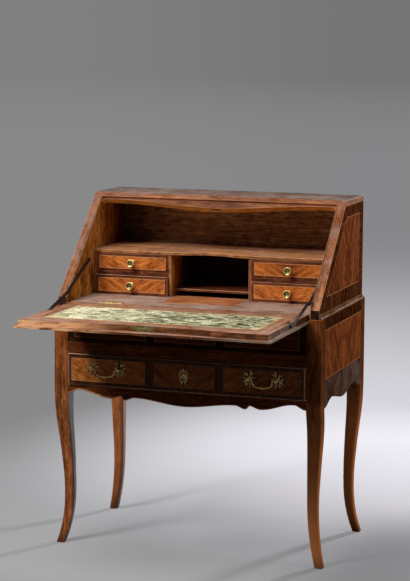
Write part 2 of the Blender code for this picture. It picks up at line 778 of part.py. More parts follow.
# Nest: shelf, uprights, rails and the raised niche floor
shelf_half = INNER - GAP
shelf_front = NEST_FRONT - SHELF_OVERHANG
shelf_edge = []
for step in range(WAVE_STEPS + 1):
    share = step / WAVE_STEPS
    hollow = SHELF_HOLLOW * (1 + math.cos(math.pi * share)) / 2
    shelf_edge.append((NICHE_HALF * share, shelf_front + hollow))
shelf_edge.append((shelf_half, shelf_front))
shelf_outline = both_ways(shelf_edge) + [(shelf_half, NEST_BACK), (-shelf_half, NEST_BACK)]
add_plate(
    "nest_shelf", shelf_outline, NEST_BOARD, FACING_UP,
    (0.0, 0.0, SHELF_TOP - NEST_BOARD / 2), DESK, INTERIOR,
)


def add_nest_side(side_name, side):
    """The upright beside the niche, the cheek on the wall and the rail between them."""
    def ordered(near, far):
        return min(side * near, side * far), max(side * near, side * far)

    foot = FLOOR_TOP + GAP
    head = SHELF_UNDER - GAP
    divider = ordered(NICHE_HALF, NICHE_HALF + NEST_BOARD)
    cheek = ordered(CHEEK_INNER, INNER - GAP)
    rail = ordered(NICHE_HALF + NEST_BOARD + GAP, CHEEK_INNER - GAP)
    add_box(
        "nest_divider_" + side_name, (divider[0], NEST_FRONT, foot), (divider[1], NEST_BACK, head),
        DESK, INTERIOR,
    )
    add_box(
        "nest_cheek_" + side_name, (cheek[0], NEST_FRONT, foot), (cheek[1], NEST_BACK, head),
        DESK, INTERIOR,
    )
    add_box(
        "nest_rail_" + side_name, (rail[0], NEST_FRONT, RAIL_UNDER), (rail[1], NEST_BACK, RAIL_TOP),
        DESK, INTERIOR,
    )


for side_name, side in SIDES:
    add_nest_side(side_name, side)

add_box(
    "niche_floor", (-NICHE_HALF + GAP, NICHE_FLOOR_FRONT, NICHE_FLOOR_TOP - NICHE_FLOOR_THICKNESS),
    (NICHE_HALF - GAP, NEST_BACK, NICHE_FLOOR_TOP), DESK, INTERIOR,
)


# Small drawers with their knobs
def add_knob(name, place, carrier):
    """A turned knob on the axis that points to the front."""
    profile = bpy.data.meshes.new(name)
    rise = [(radius * KNOB_RADIUS, 0.0, height * KNOB_LENGTH) for height, radius in KNOB_PROFILE]
    outline = [(0.0, 0.0, KNOB_LENGTH)] + rise + [(0.0, 0.0, 0.0)]
    edges = [(i, i + 1) for i in range(len(outline) - 1)]
    profile.from_pydata(outline, edges, [])
    obj = settle(bpy.data.objects.new(name, profile), name, place, carrier, BRASS)
    obj.rotation_euler.x = math.pi / 2
    turn = obj.modifiers.new("turning", "SCREW")
    turn.steps = ROUND_SIDES
    turn.render_steps = ROUND_SIDES
    turn.use_merge_vertices = True
    turn.merge_threshold = 0.00001
    turn.use_smooth_shade = True
    return obj


def add_small_drawer(name, side, low, high, ajar):
    """A drawer whose front, walls and bottom are hollowed from one block."""
    near = NICHE_HALF + NEST_BOARD + PLAY
    far = CHEEK_INNER - PLAY
    left = min(side * near, side * far)
    right = max(side * near, side * far)
    front = NEST_FRONT - ajar
    back = NEST_BACK - SMALL_BACK_SPACE - ajar
    slide = new_empty(name + "_slide", (0.0, front, low), DESK)
    tray = add_box(name, (left, front, low), (right, back, high), slide, VENEER)
    hollow = add_box(
        name + "_hollow", (left + SMALL_WALL, front + SMALL_FRONT, low + SMALL_WALL),
        (right - SMALL_WALL, back - SMALL_WALL, high + GAP), slide, None,
    )
    cut(tray, hollow)
    add_knob(name + "_knob", ((left + right) / 2, front - GAP, (low + high) / 2), slide)


LOWER_LEVEL = (FLOOR_TOP + GAP, RAIL_UNDER - 2 * PLAY)
UPPER_LEVEL = (RAIL_TOP + GAP, SHELF_UNDER - 2 * PLAY)
add_small_drawer("small_drawer_upper_left", -1, *UPPER_LEVEL, 0.0)
add_small_drawer("small_drawer_lower_left", -1, *LOWER_LEVEL, LEFT_DRAWER_AJAR)
add_small_drawer("small_drawer_upper_right", 1, *UPPER_LEVEL, 0.0)
add_small_drawer("small_drawer_lower_right", 1, *LOWER_LEVEL, RIGHT_DRAWER_AJAR)


# Flap: a board with a thin lip on three sides, inlaid with leather
LIP_FLOOR = FLOOR_TOP - FLAP_THICKNESS
BODY_FLOOR = FLOOR_TOP - BODY_THICKNESS
flap_board = add_box(
    "flap_board", (-LIP_HALF, AXIS_Y - LIP_END, LIP_FLOOR), (LIP_HALF, AXIS_Y - FLAP_REAR, FLOOR_TOP),
    FLAP, VENEER,
)
for side_name, side in SIDES:
    inner = side * BODY_HALF
    outer = side * (LIP_HALF + GAP)
    cut(flap_board, add_box(
        "flap_side_rebate_" + side_name, (min(inner, outer), AXIS_Y - LIP_END - GAP, BODY_FLOOR),
        (max(inner, outer), AXIS_Y, FLOOR_TOP + GAP), FLAP, None,
    ))
    cut(flap_board, add_rod(
        "flap_pin_socket_" + side_name, (side * (FLAP_PIN_HEAD - GAP), *FLAP_PIN),
        (side * (BODY_HALF + GAP), *FLAP_PIN), STAY_PIN + GAP, FLAP, None,
    ))
cut(flap_board, add_box(
    "flap_end_rebate", (-LIP_HALF - GAP, AXIS_Y - LIP_END - GAP, BODY_FLOOR),
    (LIP_HALF + GAP, AXIS_Y - BODY_END, FLOOR_TOP + GAP), FLAP, None,
))
LEATHER_BACK_Y = AXIS_Y - LEATHER_REAR
LEATHER_FRONT_Y = AXIS_Y - BODY_END + LEATHER_FRONT
LEATHER_UNDER = FLOOR_TOP - LEATHER_THICKNESS - GAP
cut(flap_board, add_box(
    "leather_bed", (-LEATHER_HALF - GAP, LEATHER_FRONT_Y - GAP, LEATHER_UNDER - GAP),
    (LEATHER_HALF + GAP, LEATHER_BACK_Y + GAP, FLOOR_TOP + GAP), FLAP, None,
))
add_box(
    "writing_leather", (-LEATHER_HALF, LEATHER_FRONT_Y, LEATHER_UNDER),
    (LEATHER_HALF, LEATHER_BACK_Y, FLOOR_TOP - GAP), FLAP, LEATHER,
)

LOCK_BACK = AXIS_Y - BODY_END - GAP
LOCK_FACE = LOCK_BACK - FLAP_LOCK_THICKNESS
flap_lock = add_box(
    "flap_lock_plate", (-FLAP_LOCK_WIDTH / 2, LOCK_FACE, BODY_FLOOR + FLAP_LOCK_MARGIN),
    (FLAP_LOCK_WIDTH / 2, LOCK_BACK, FLOOR_TOP - FLAP_LOCK_MARGIN), FLAP, BRASS,
)
bolt_foot = FLOOR_TOP - (BODY_THICKNESS + FLAP_BOLT_HEIGHT) / 2
bolt = add_box(
    "flap_bolt", (-FLAP_BOLT_WIDTH / 2, LOCK_FACE - FLAP_BOLT_SHOW, bolt_foot),
    (FLAP_BOLT_WIDTH / 2, LOCK_BACK - GAP, bolt_foot + FLAP_BOLT_HEIGHT), FLAP, None,
)
join(flap_lock, bolt)


# Flap hinges: a leaf in the desk floor, a leaf in the flap, turning on one barrel
def leaf_reach(carrier):
    """Y of the far edge of the leaf that a board carries."""
    if carrier == FLAP:
        return AXIS_Y - HINGE_LEAF
    return AXIS_Y + HINGE_LEAF


def hinge_seat(name, low, high, board, carrier):
    """A shallow bed for a leaf and a round channel for the barrel."""
    bed = FLOOR_TOP - HINGE_THICKNESS - GAP
    reach = leaf_reach(carrier)
    cut(board, add_box(
        name + "_bed", (low, min(AXIS_Y, reach) - GAP, bed),
        (high, max(AXIS_Y, reach) + GAP, FLOOR_TOP + GAP), carrier, None,
    ))
    cut(board, add_rod(
        name + "_channel", (low, AXIS_Y, FLOOR_TOP), (high, AXIS_Y, FLOOR_TOP),
        HINGE_BARREL + 2 * GAP, carrier, None,
    ))


def add_leaf(name, low, high, spans, carrier):
    """A leaf with its knuckles, which lie on the hinge axis."""
    reach = leaf_reach(carrier)
    toward = 1 if reach > AXIS_Y else -1
    near = AXIS_Y + toward * (HINGE_BARREL + 3 * GAP)
    leaf = add_box(
        name, (low + GAP, min(near, reach), FLOOR_TOP - HINGE_THICKNESS),
        (high - GAP, max(near, reach), FLOOR_TOP), carrier, BRASS,
    )
    for index, (start, end) in enumerate(spans):
        neck_near = AXIS_Y + toward * HINGE_BARREL / 2
        neck_far = AXIS_Y + toward * (HINGE_BARREL + 6 * GAP)
        neck = add_box(
            name + "_neck" + str(index),
            (start + GAP, min(neck_near, neck_far), FLOOR_TOP - HINGE_THICKNESS + GAP),
            (end - GAP, max(neck_near, neck_far), FLOOR_TOP - GAP), carrier, None,
        )
        knuckle = add_rod(
            name + "_knuckle" + str(index), (start, AXIS_Y, FLOOR_TOP), (end, AXIS_Y, FLOOR_TOP),
            HINGE_BARREL, carrier, None, SMALL_ROUND_SIDES,
        )
        join(knuckle, neck)
        join(leaf, knuckle)


def add_hinge(side_name, side):
    low = side * HINGE_CENTRE - HINGE_LENGTH / 2
    high = low + HINGE_LENGTH
    middle = (low + high) / 2
    split_low = middle - HINGE_KNUCKLE / 2
    split_high = middle + HINGE_KNUCKLE / 2
    hinge_seat("desk_hinge_" + side_name, low, high, desk_floor, DESK)
    hinge_seat("flap_hinge_" + side_name, low, high, flap_board, FLAP)
    outer = ((low + GAP, split_low - GAP), (split_high + GAP, high - GAP))
    add_leaf("hinge_desk_leaf_" + side_name, low, high, outer, DESK)
    add_leaf("hinge_flap_leaf_" + side_name, low, high, ((split_low + GAP, split_high - GAP),), FLAP)


for side_name, side in SIDES:
    add_hinge(side_name, side)


# Folding stays: two flat links on each side, in layers between flap and wall
LINK_SPACE = INNER - BODY_HALF
LOWER_LAYER = BODY_HALF + LINK_SPACE / 2 - PLAY / 2 - STAY_THICKNESS
UPPER_LAYER = BODY_HALF + LINK_SPACE / 2 + PLAY / 2


def add_link(name, side, start, end, layer, pin_head, carrier):
    """A flat bar with rounded eyes and a pin into the piece that carries it."""
    along = Vector(end) - Vector(start)
    turn = math.atan2(along.y, along.x)
    half = STAY_WIDTH / 2
    lean = math.asin(half / STAY_EYE)
    outline = arc((0.0, 0.0), STAY_EYE, lean, 2 * math.pi - lean, EYE_STEPS)
    outline += arc((along.length, 0.0), STAY_EYE, lean - math.pi, math.pi - lean, EYE_STEPS)
    rotated = [
        (y * math.cos(turn) - z * math.sin(turn), y * math.sin(turn) + z * math.cos(turn))
        for y, z in outline
    ]
    middle = side * (layer + STAY_THICKNESS / 2)
    pivot = new_empty(name + "_pivot", (side * layer, *start), carrier)
    bar = add_plate(name, rotated, STAY_THICKNESS, FACING_SIDE, (middle, *start), pivot, IRON)
    pin = add_rod(
        name + "_pin", (middle, *start), (side * pin_head, *start), STAY_PIN, pivot, None,
        SMALL_ROUND_SIDES,
    )
    return join(bar, pin)


for side_name, side in SIDES:
    add_link("stay_lower_" + side_name, side, FLAP_PIN, KNEE, LOWER_LAYER, FLAP_PIN_HEAD, FLAP)
    add_link("stay_upper_" + side_name, side, WALL_PIVOT, KNEE, UPPER_LAYER, WALL_PIN_HEAD, DESK)


# Long drawer
SIDE_TOP = DRAWER_TOP - DRAWER_SIDE_DROP
FRONT_BACK = FRONT + PANEL_THICKNESS
BOX_FRONT = FRONT_BACK + GAP
BOX_BACK = BACK - BACK_THICKNESS - DRAWER_BACK_SPACE
drawer_front = add_box(
    "long_drawer_front", (-FRONT_HALF, DRAWER_FACE, DRAWER_BOTTOM), (FRONT_HALF, FRONT_BACK, DRAWER_TOP),
    LONG_DRAWER, VENEER,
)
soften(drawer_front, DRAWER_PROUD / 2, 2)
for side_name, side in SIDES:
    near = side * SIDE_INNER
    far = side * SIDE_OUTER
    add_box(
        "long_drawer_side_" + side_name, (min(near, far), BOX_FRONT, SIDE_BOTTOM),
        (max(near, far), BOX_BACK, SIDE_TOP), LONG_DRAWER, OAK,
    )
BASE_HALF = SIDE_INNER - GAP
BASE_TOP = SIDE_BOTTOM + GAP + DRAWER_BASE
add_box(
    "long_drawer_bottom", (-BASE_HALF, BOX_FRONT, SIDE_BOTTOM + GAP), (BASE_HALF, BOX_BACK, BASE_TOP),
    LONG_DRAWER, OAK,
)
add_box(
    "long_drawer_back", (-BASE_HALF, BOX_BACK - DRAWER_WALL, BASE_TOP + GAP), (BASE_HALF, BOX_BACK, SIDE_TOP),
    LONG_DRAWER, OAK,
)


# Drawer furniture
def leafy_outline(width, height, lobes, depth, lean, mirror):
    """A leaf-edged outline round the origin."""
    points = []
    for step in range(LOBE_STEPS * lobes):
        angle = 2 * math.pi * step / (LOBE_STEPS * lobes)
        swell = 1 - depth * (1 - math.cos(lobes * angle)) / 2
        across = width / 2 * swell * math.sin(angle)
        up = height / 2 * swell * math.cos(angle)
        points.append((
            mirror * (across * math.cos(lean) + up * math.sin(lean)),
            up * math.cos(lean) - across * math.sin(lean),
        ))
    return points


EAR_Y = DRAWER_FACE - GAP - ROSETTE_THICKNESS - EAR_REACH


def add_rosette(name, centre, mirror):
    """A leafy plate with a round ear that holds one end of the bail."""
    outline = leafy_outline(
        ROSETTE_WIDTH, ROSETTE_HEIGHT, ROSETTE_LOBES, ROSETTE_LOBE_DEPTH, ROSETTE_LEAN, mirror,
    )
    middle = (centre, DRAWER_FACE - GAP - ROSETTE_THICKNESS / 2, HANDLE_HEIGHT)
    plate = add_plate(name, outline, ROSETTE_THICKNESS, FACING_FRONT, middle, LONG_DRAWER, BRASS)
    stem = add_rod(
        name + "_stem", (centre, middle[1], HANDLE_HEIGHT), (centre, EAR_Y, HANDLE_HEIGHT),
        EAR_STEM_RADIUS, LONG_DRAWER, None, SMALL_ROUND_SIDES,
    )
    bpy.ops.mesh.primitive_uv_sphere_add(segments=SMALL_ROUND_SIDES, ring_count=10, radius=EAR_RADIUS)
    ear = settle(
        bpy.context.object, name + "_ear", (centre, EAR_Y, HANDLE_HEIGHT), LONG_DRAWER, None,
    )
    eye = add_rod(
        name + "_eye", (centre - 2 * EAR_RADIUS, EAR_Y, HANDLE_HEIGHT),
        (centre + 2 * EAR_RADIUS, EAR_Y, HANDLE_HEIGHT), BAIL_RADIUS + GAP, LONG_DRAWER, None,
        SMALL_ROUND_SIDES,
    )
    join(plate, stem)
    join(plate, ear)
    cut(plate, eye)


def add_bail(name, centre):
    """A drop handle whose ends turn outwards into the ears, with a knop at its middle."""
    half = HANDLE_SPAN / 2
    straight = half - EAR_RADIUS - BAIL_EAR_SPACE
    waist = half - EAR_RADIUS - BAIL_NECK
    path = [(half + EAR_RADIUS - BAIL_STUB_SHORT, 0.0), (half, 0.0), (straight, 0.0)]
    for step in range(1, BAIL_STEPS + 1):
        turn = math.pi / 2 * step / BAIL_STEPS
        path.append((waist * math.cos(turn), -BAIL_DROP * math.sin(turn) ** BAIL_FULLNESS))
    points = [(-x, 0.0, z) for x, z in path[:-1]] + [(x, 0.0, z) for x, z in reversed(path)]
    points[len(path) - 1] = (0.0, 0.0, -BAIL_DROP)
    middle = (len(points) - 1) / 2
    steps_away = [(index - middle) / BAIL_KNOP_SPREAD for index in range(len(points))]
    swell = [1 + (BAIL_KNOP - 1) * math.exp(-(away**2)) for away in steps_away]
    pivot = new_empty(name + "_pivot", (centre, EAR_Y, HANDLE_HEIGHT), LONG_DRAWER)
    add_wire(name, points, BAIL_RADIUS, (centre, EAR_Y, HANDLE_HEIGHT), pivot, BRASS, swell)


for side_name, side in SIDES:
    centre = side * HANDLE_CENTRE
    add_rosette("handle_rosette_" + side_name + "_a", centre - HANDLE_SPAN / 2, -1)
    add_rosette("handle_rosette_" + side_name + "_b", centre + HANDLE_SPAN / 2, 1)
    add_bail("handle_bail_" + side_name, centre)

plate_middle = (0.0, DRAWER_FACE - GAP - PLATE_LIFT / 2, DRAWER_MIDDLE)
plate_outline = leafy_outline(PLATE_WIDTH, PLATE_HEIGHT, PLATE_LOBES, PLATE_LOBE_DEPTH, 0.0, 1)
escutcheon = add_plate(
    "escutcheon", plate_outline, PLATE_LIFT, FACING_FRONT, plate_middle, LONG_DRAWER, BRASS,
)
key_outline = arc((0.0, 0.0), KEYHOLE_RADIUS, -math.pi / 3, 4 * math.pi / 3, 14)
key_outline += [(-KEYHOLE_RADIUS / 2, -KEYHOLE_SLOT), (KEYHOLE_RADIUS / 2, -KEYHOLE_SLOT)]
cut(escutcheon, add_plate(
    "keyhole", key_outline, 4 * PLATE_LIFT, FACING_FRONT, plate_middle, LONG_DRAWER, None,
))
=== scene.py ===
"""Slant-front writing desk in quartered veneer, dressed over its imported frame."""

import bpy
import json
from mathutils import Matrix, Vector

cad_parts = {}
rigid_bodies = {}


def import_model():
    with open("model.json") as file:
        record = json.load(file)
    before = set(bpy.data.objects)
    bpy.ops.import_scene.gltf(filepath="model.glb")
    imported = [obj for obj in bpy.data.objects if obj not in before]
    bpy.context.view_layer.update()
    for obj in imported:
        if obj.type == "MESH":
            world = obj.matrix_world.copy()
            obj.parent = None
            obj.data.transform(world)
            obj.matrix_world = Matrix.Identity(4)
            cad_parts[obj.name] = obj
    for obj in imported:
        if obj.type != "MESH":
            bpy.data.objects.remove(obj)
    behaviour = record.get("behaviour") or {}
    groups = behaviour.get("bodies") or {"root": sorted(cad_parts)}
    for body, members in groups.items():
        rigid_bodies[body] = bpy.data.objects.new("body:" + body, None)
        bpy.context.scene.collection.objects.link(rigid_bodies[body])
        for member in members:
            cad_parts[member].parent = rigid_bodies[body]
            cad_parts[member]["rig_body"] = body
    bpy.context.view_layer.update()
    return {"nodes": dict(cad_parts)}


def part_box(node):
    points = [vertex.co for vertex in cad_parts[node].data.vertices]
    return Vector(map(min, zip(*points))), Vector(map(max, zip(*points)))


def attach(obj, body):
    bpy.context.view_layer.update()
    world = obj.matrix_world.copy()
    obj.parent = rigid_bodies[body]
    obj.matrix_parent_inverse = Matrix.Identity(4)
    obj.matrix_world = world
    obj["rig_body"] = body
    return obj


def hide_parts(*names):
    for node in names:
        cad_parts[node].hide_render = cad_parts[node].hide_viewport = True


bl_info = {
    "name": "Slant-front desk",
    "version": (1, 0, 0),
    "blender": (4, 5, 0),
    "location": "View3D > Sidebar > Desk",
    "description": "Dresses the packed frame of a slant-front desk with veneer, leather, brass and iron",
    "category": "Object",
}

import json
import math
from contextlib import contextmanager

import bmesh
import bpy
from mathutils import Matrix, Vector
from mathutils.bvhtree import BVHTree

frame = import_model()

# Lengths are in metres; patterns of the metalwork are in millimetres and degrees
SIDES = ("left", "right")
NESTS = ("upper_left", "lower_left", "upper_right", "lower_right")
MILLI = 0.001
ROOT_HALF = math.sqrt(0.5)

# Merging, rounding and shading of meshes
MERGE = 1e-5
FLAT_ANGLE = math.radians(0.3)
ARRIS_ANGLE = math.radians(32)
SMOOTH_ANGLE = math.radians(38)
JOINT_GAP = 0.0012
JOINT_SHARE = 0.06
METAL_ARRIS = 0.0004
CUTTER_ARRIS = 0.00002
LEAF_THICK = 0.0013
CAST_GRAIN = 0.00036
LEATHER_CUTS = 40

# Stays, their knee as y and z, and the brackets on the flap
STAY_THICK = 0.0027
STAY_PIN = -0.19439
KNEE = (-0.04764, 0.71863)
BRACKET_IN = 0.0095
BRACKET_WIDE = 0.013
BRACKET_HALF = 0.011
BRACKET_THICK = 0.0016
BRACKET_ARRIS = 0.0006
RIVET_STEP = 0.0062
RIVET_BASE = 0.0014

# Wavy end of the flap
FLAP_END = -0.3716
WAVE_DEPTH = 0.0199
WAVE_HALF = 0.3125
WAVE_FLAT = 0.036
WAVE_CUTS = 48
WAVE_LONG = 0.1

# Handles, knobs and screws
BAIL_AXIS = 0.5105
EAR_OUT = 12.5
EAR_EYE = 2.5
SPRIG_SCALE = 1.15
SPRIG_REACH = 0.012
BAIL_REACH = 0.006
KNOB_DISH = 0.0075
KNOB_NECK = 0.013
KNOB_RIM = 0.0085
KEYHOLE_RISE = 0.002
HINGE_SCREWS = (0.16, 0.5, 0.84)
LOCK_SCREW_IN = 0.006

# Layout of the veneer, its relief and its shine
PANEL_MIDDLE = 0.087
PANEL_NEAR = 0.112
FRIEZE_END = 0.322
FRIEZE_RAIL = 0.031
FRIEZE_HEAD = 0.008
FRIEZE_FOOT = 0.012
DRAWER_END = 0.0115
SIDE_MARGIN = 0.004
SIDE_FOOT_BAND = 0.078
SIDE_HEAD_BAND = 0.031
CHEVRON_FORWARD = 0.06
BROAD_BAND = 0.04
FLAP_RIM = 0.009
MIDDLE_BLEND = 0.1
WOOD_BUMP = 0.0006
METAL_BUMP = 0.0004
SIDE_SHINE = 0.0

# Floor and camera, the sensor in millimetres
FLOOR_RADIUS = 60.0
SENSOR = 36.0
FAR_CLIP = 200.0

# Stains, dirt, painted shade and painted light, as linear colours
# Near-black painted shade for the inside of the case, the stiles' rebates and the back's corners
PAINTED_SHADE = (0.012, 0.007, 0.004)
# Painted shade on the side's front-facing faces below the slanted stile
BLUNT_SHADE = (0.006, 0.004, 0.003)
POST_SHADE = (0.012, 0.004, 0.002)
# Painted grey reflection of the lit floor on the legs' inner faces
PAINTED_GREY_SHEEN = (0.14, 0.132, 0.142)
TURNED_SHADE = (0.020, 0.010, 0.005)
# Painted shade: darker, more saturated posts under the flap's shadow
POST_SHADE_TINT = (0.55, 0.42, 0.26)
FOOT_DIRT = (0.040, 0.024, 0.018)
FRIEZE_SHADE = (0.008, 0.004, 0.002)
JOINT_DIRT = (0.01, 0.006, 0.004)
# Painted light: orange patches on the long drawer's left, lit under the flap
LEFT_LIGHT_ORANGE = (0.80, 0.30, 0.06)
RIM_RUB = (0.46, 0.30, 0.22)
END_BAND = (0.22, 0.11, 0.06)
# Painted shade in the keyhole
KEYHOLE_SHADE = (0.004, 0.003, 0.002)
LINE_DARK = (0.02, 0.012, 0.008)
# Paler flap edge on the left: partly wear, partly painted light
LIP_WORN_AND_LIT = (0.92, 0.50, 0.25)
# Painted grey sheen on the lip's right part
LIP_GREY_SHEEN = (0.30, 0.25, 0.19)
HAZE_DIRT = (0.36, 0.3, 0.26)
FLOOR_BOUNCE = (0.14, 0.14, 0.14)

# Turned profiles, each row a radius and a height
KNOB_PROFILE = (
    (8.5, 0), (8.5, 1.2), (7.5, 2), (4.2, 4.5), (3.8, 8.5), (7.5, 12.5), (11, 16), (11.5, 17.5),
    (11, 19), (9.8, 20.4), (8, 19.4), (6.2, 17.2), (4, 16), (2, 16.4), (0.3, 16.8),
)
EAR_PROFILE = (
    (6.5, 0), (6.5, 1), (5, 2.4), (3.9, 4), (3.9, 6.5), (5, 8.5), (5.5, 10.5), (5.5, 12.5), (5.2, 14.5),
    (4, 16.6), (2, 17.8), (0.3, 18),
)
SCREW_PROFILE = ((2.9, 0), (2.9, 0.25), (2.2, 0.55), (0.2, 0.65))
RIVET_PROFILE = ((3.9, 0), (3.9, 0.4), (3.3, 0.95), (1.8, 1.3), (0.2, 1.4))
# Leaves are rows of x, y, turn, length, width and lift; stems and scrolls of x, y, z and radius;
# the bail's half of x, height and radius
SPRIG_LEAVES = (
    (-6, 10, 150, 9, 5.5, 1.6), (-3, 8, 100, 12.5, 6.5, 2.2), (2, 3, 65, 13.5, 6.5, 2.4),
    (7, -2, 40, 10.5, 6, 2.0), (9, -6, -20, 6.5, 5.5, 1.6), (5, -3, -75, 12.5, 6, 2.2),
    (-1, 1, -95, 20, 6.5, 2.4), (-4, 4, 195, 10.5, 5.5, 2.0), (0, 2, 230, 12, 5.5, 1.8),
    (-8, 2, 172, 9, 5, 1.8), (3, -10, -58, 9, 5, 2.0), (-6, -8, -132, 9, 5, 1.8),
    (8, 6, 62, 8.5, 5, 1.8),
)
SPRIG_STEMS = (
    ((-11, 14, 2.2, 0.9), (-6, 9, 3.2, 1.4), (0, 3, 3.6, 1.7), (7, -3, 3.2, 1.5), (14, -9.5, 2.0, 0.9)),
    ((-5, 18, 2.0, 0.8), (-3, 8, 3.0, 1.2), (-1, 0, 3.4, 1.4), (-2.5, -10, 2.8, 1.1), (-2, -19, 1.8, 0.7)),
)
BAIL_HALF = (
    (42.1, 0, 1.5), (41.6, 0, 1.9), (37, 0, 1.9), (32.5, -0.3, 1.9), (29.4, -2.2, 2.1), (28, -7, 2.0),
    (26.5, -12.5, 2.0), (22, -17.6, 2.1), (14.5, -20.2, 2.2), (8.6, -21, 2.2), (6.4, -21.2, 3.0),
    (5.2, -21.3, 3.0), (4.2, -21.4, 2.3), (2.4, -21.6, 3.6), (0, -21.7, 4.0),
)
PLATE_LEAVES = (
    (0, 11, 90, 12.5, 8, 1.6), (4, 11, 55, 10, 5.5, 1.4), (8, 7, 25, 7, 5, 1.4),
    (9, -2, -15, 5.8, 4.5, 1.4), (6, -9, -40, 8, 5, 1.4), (2.5, -11, -68, 13, 6, 1.6),
)
PLATE_SCROLL = (
    (0.5, 15, 1.8, 1.2), (6, 14.5, 2.2, 1.5), (10.5, 8.5, 2.2, 1.6), (9.6, 0, 2.2, 1.5),
    (8.6, -7, 2.2, 1.5), (5, -12.5, 2.0, 1.4), (0.5, -13, 1.8, 1.2),
)

SIDE_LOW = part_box("upper_side_right")[0]
LOWER_LOW, LOWER_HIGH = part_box("lower_side_right")
TOP_LOW, TOP_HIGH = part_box("top_board")
WAIST_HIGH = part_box("waist_moulding_right")[1]
FLAP_LOW, FLAP_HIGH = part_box("flap_board")
LEATHER_LOW, LEATHER_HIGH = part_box("writing_leather")
DRAWER_LOW, DRAWER_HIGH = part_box("long_drawer_front")
FRIEZE_LOW, FRIEZE_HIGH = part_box("frieze_rail")
SHELF_LOW, SHELF_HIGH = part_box("nest_shelf")
LEG_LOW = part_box("front_leg_right")[0]
KEYHOLE_LOW, KEYHOLE_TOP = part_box("escutcheon")
KEYHOLE_HIGH = (KEYHOLE_LOW.z + KEYHOLE_TOP.z) / 2 + KEYHOLE_RISE
SLANT_LINE = TOP_HIGH.z - TOP_LOW.y - (TOP_HIGH.z - TOP_LOW.z)

# Each lamp: name, place, target, size and the setting with its power
LAMPS = (
    ("key_lamp", (-1.5, -2.0, 2.85), (0.0, 0.0, 0.62), 0.5, "key_watts"),
    ("rim_lamp", (1.13, 2.54, 1.6), (0.1, 0.1, 0.5), 0.24, "rim_watts"),
    ("top_lamp", (-0.6, -1.2, 3.2), (0.0, -0.2, 0.68), 1.2, "top_watts"),
    ("side_lamp", (2.2, 0.1, 1.9), (0.0, 0.1, 0.6), 0.6, "side_watts"),
)


def tint(red, green, blue):
    """A colour given as seen on a screen, 0 to 255, as a linear colour."""
    shares = (red / 255, green / 255, blue / 255)
    return tuple(s / 12.92 if s <= 0.04045 else ((s + 0.055) / 1.055) ** 2.4 for s in shares)


def colour(name, description, *screen):
    """A colour a user may change."""
    return bpy.props.FloatVectorProperty(
        name=name, description=description, default=tint(*screen), subtype="COLOR", size=3, min=0, max=1
    )


def length(name, description, default):
    """A length a user may change."""
    return bpy.props.FloatProperty(name=name, description=description, default=default, unit="LENGTH", min=0)


def number(name, description, default, **kind):
    """A plain number, an angle or a power a user may change."""
    return bpy.props.FloatProperty(name=name, description=description, default=default, **kind)


class DeskSizes(bpy.types.PropertyGroup):
    """Lengths of the veneer work and of the softened edges."""

    arris: length("Arris", "Rounding of the boards' edges", 0.0012)
    leg_arris: length("Leg arris", "Rounding of the legs' edges", 0.0018)
    drawer_arris: length("Drawer arris", "Rounding of the long drawer's front", 0.005)
    string: length("String", "Width of the pale strings", 0.0016)
    side_band: length("Side band", "Crossbanding on the sides", 0.040)
    slant_band: length("Slant band", "Crossbanding beside the slanted edge", 0.032)
    drawer_band: length("Drawer band", "Crossbanding round the long drawer's panels", 0.012)
    small_band: length("Small drawer band", "Dark edge of the small drawers", 0.0078)
    flap_line: length("Flap line", "Dark line's distance from the flap's edge", 0.012)


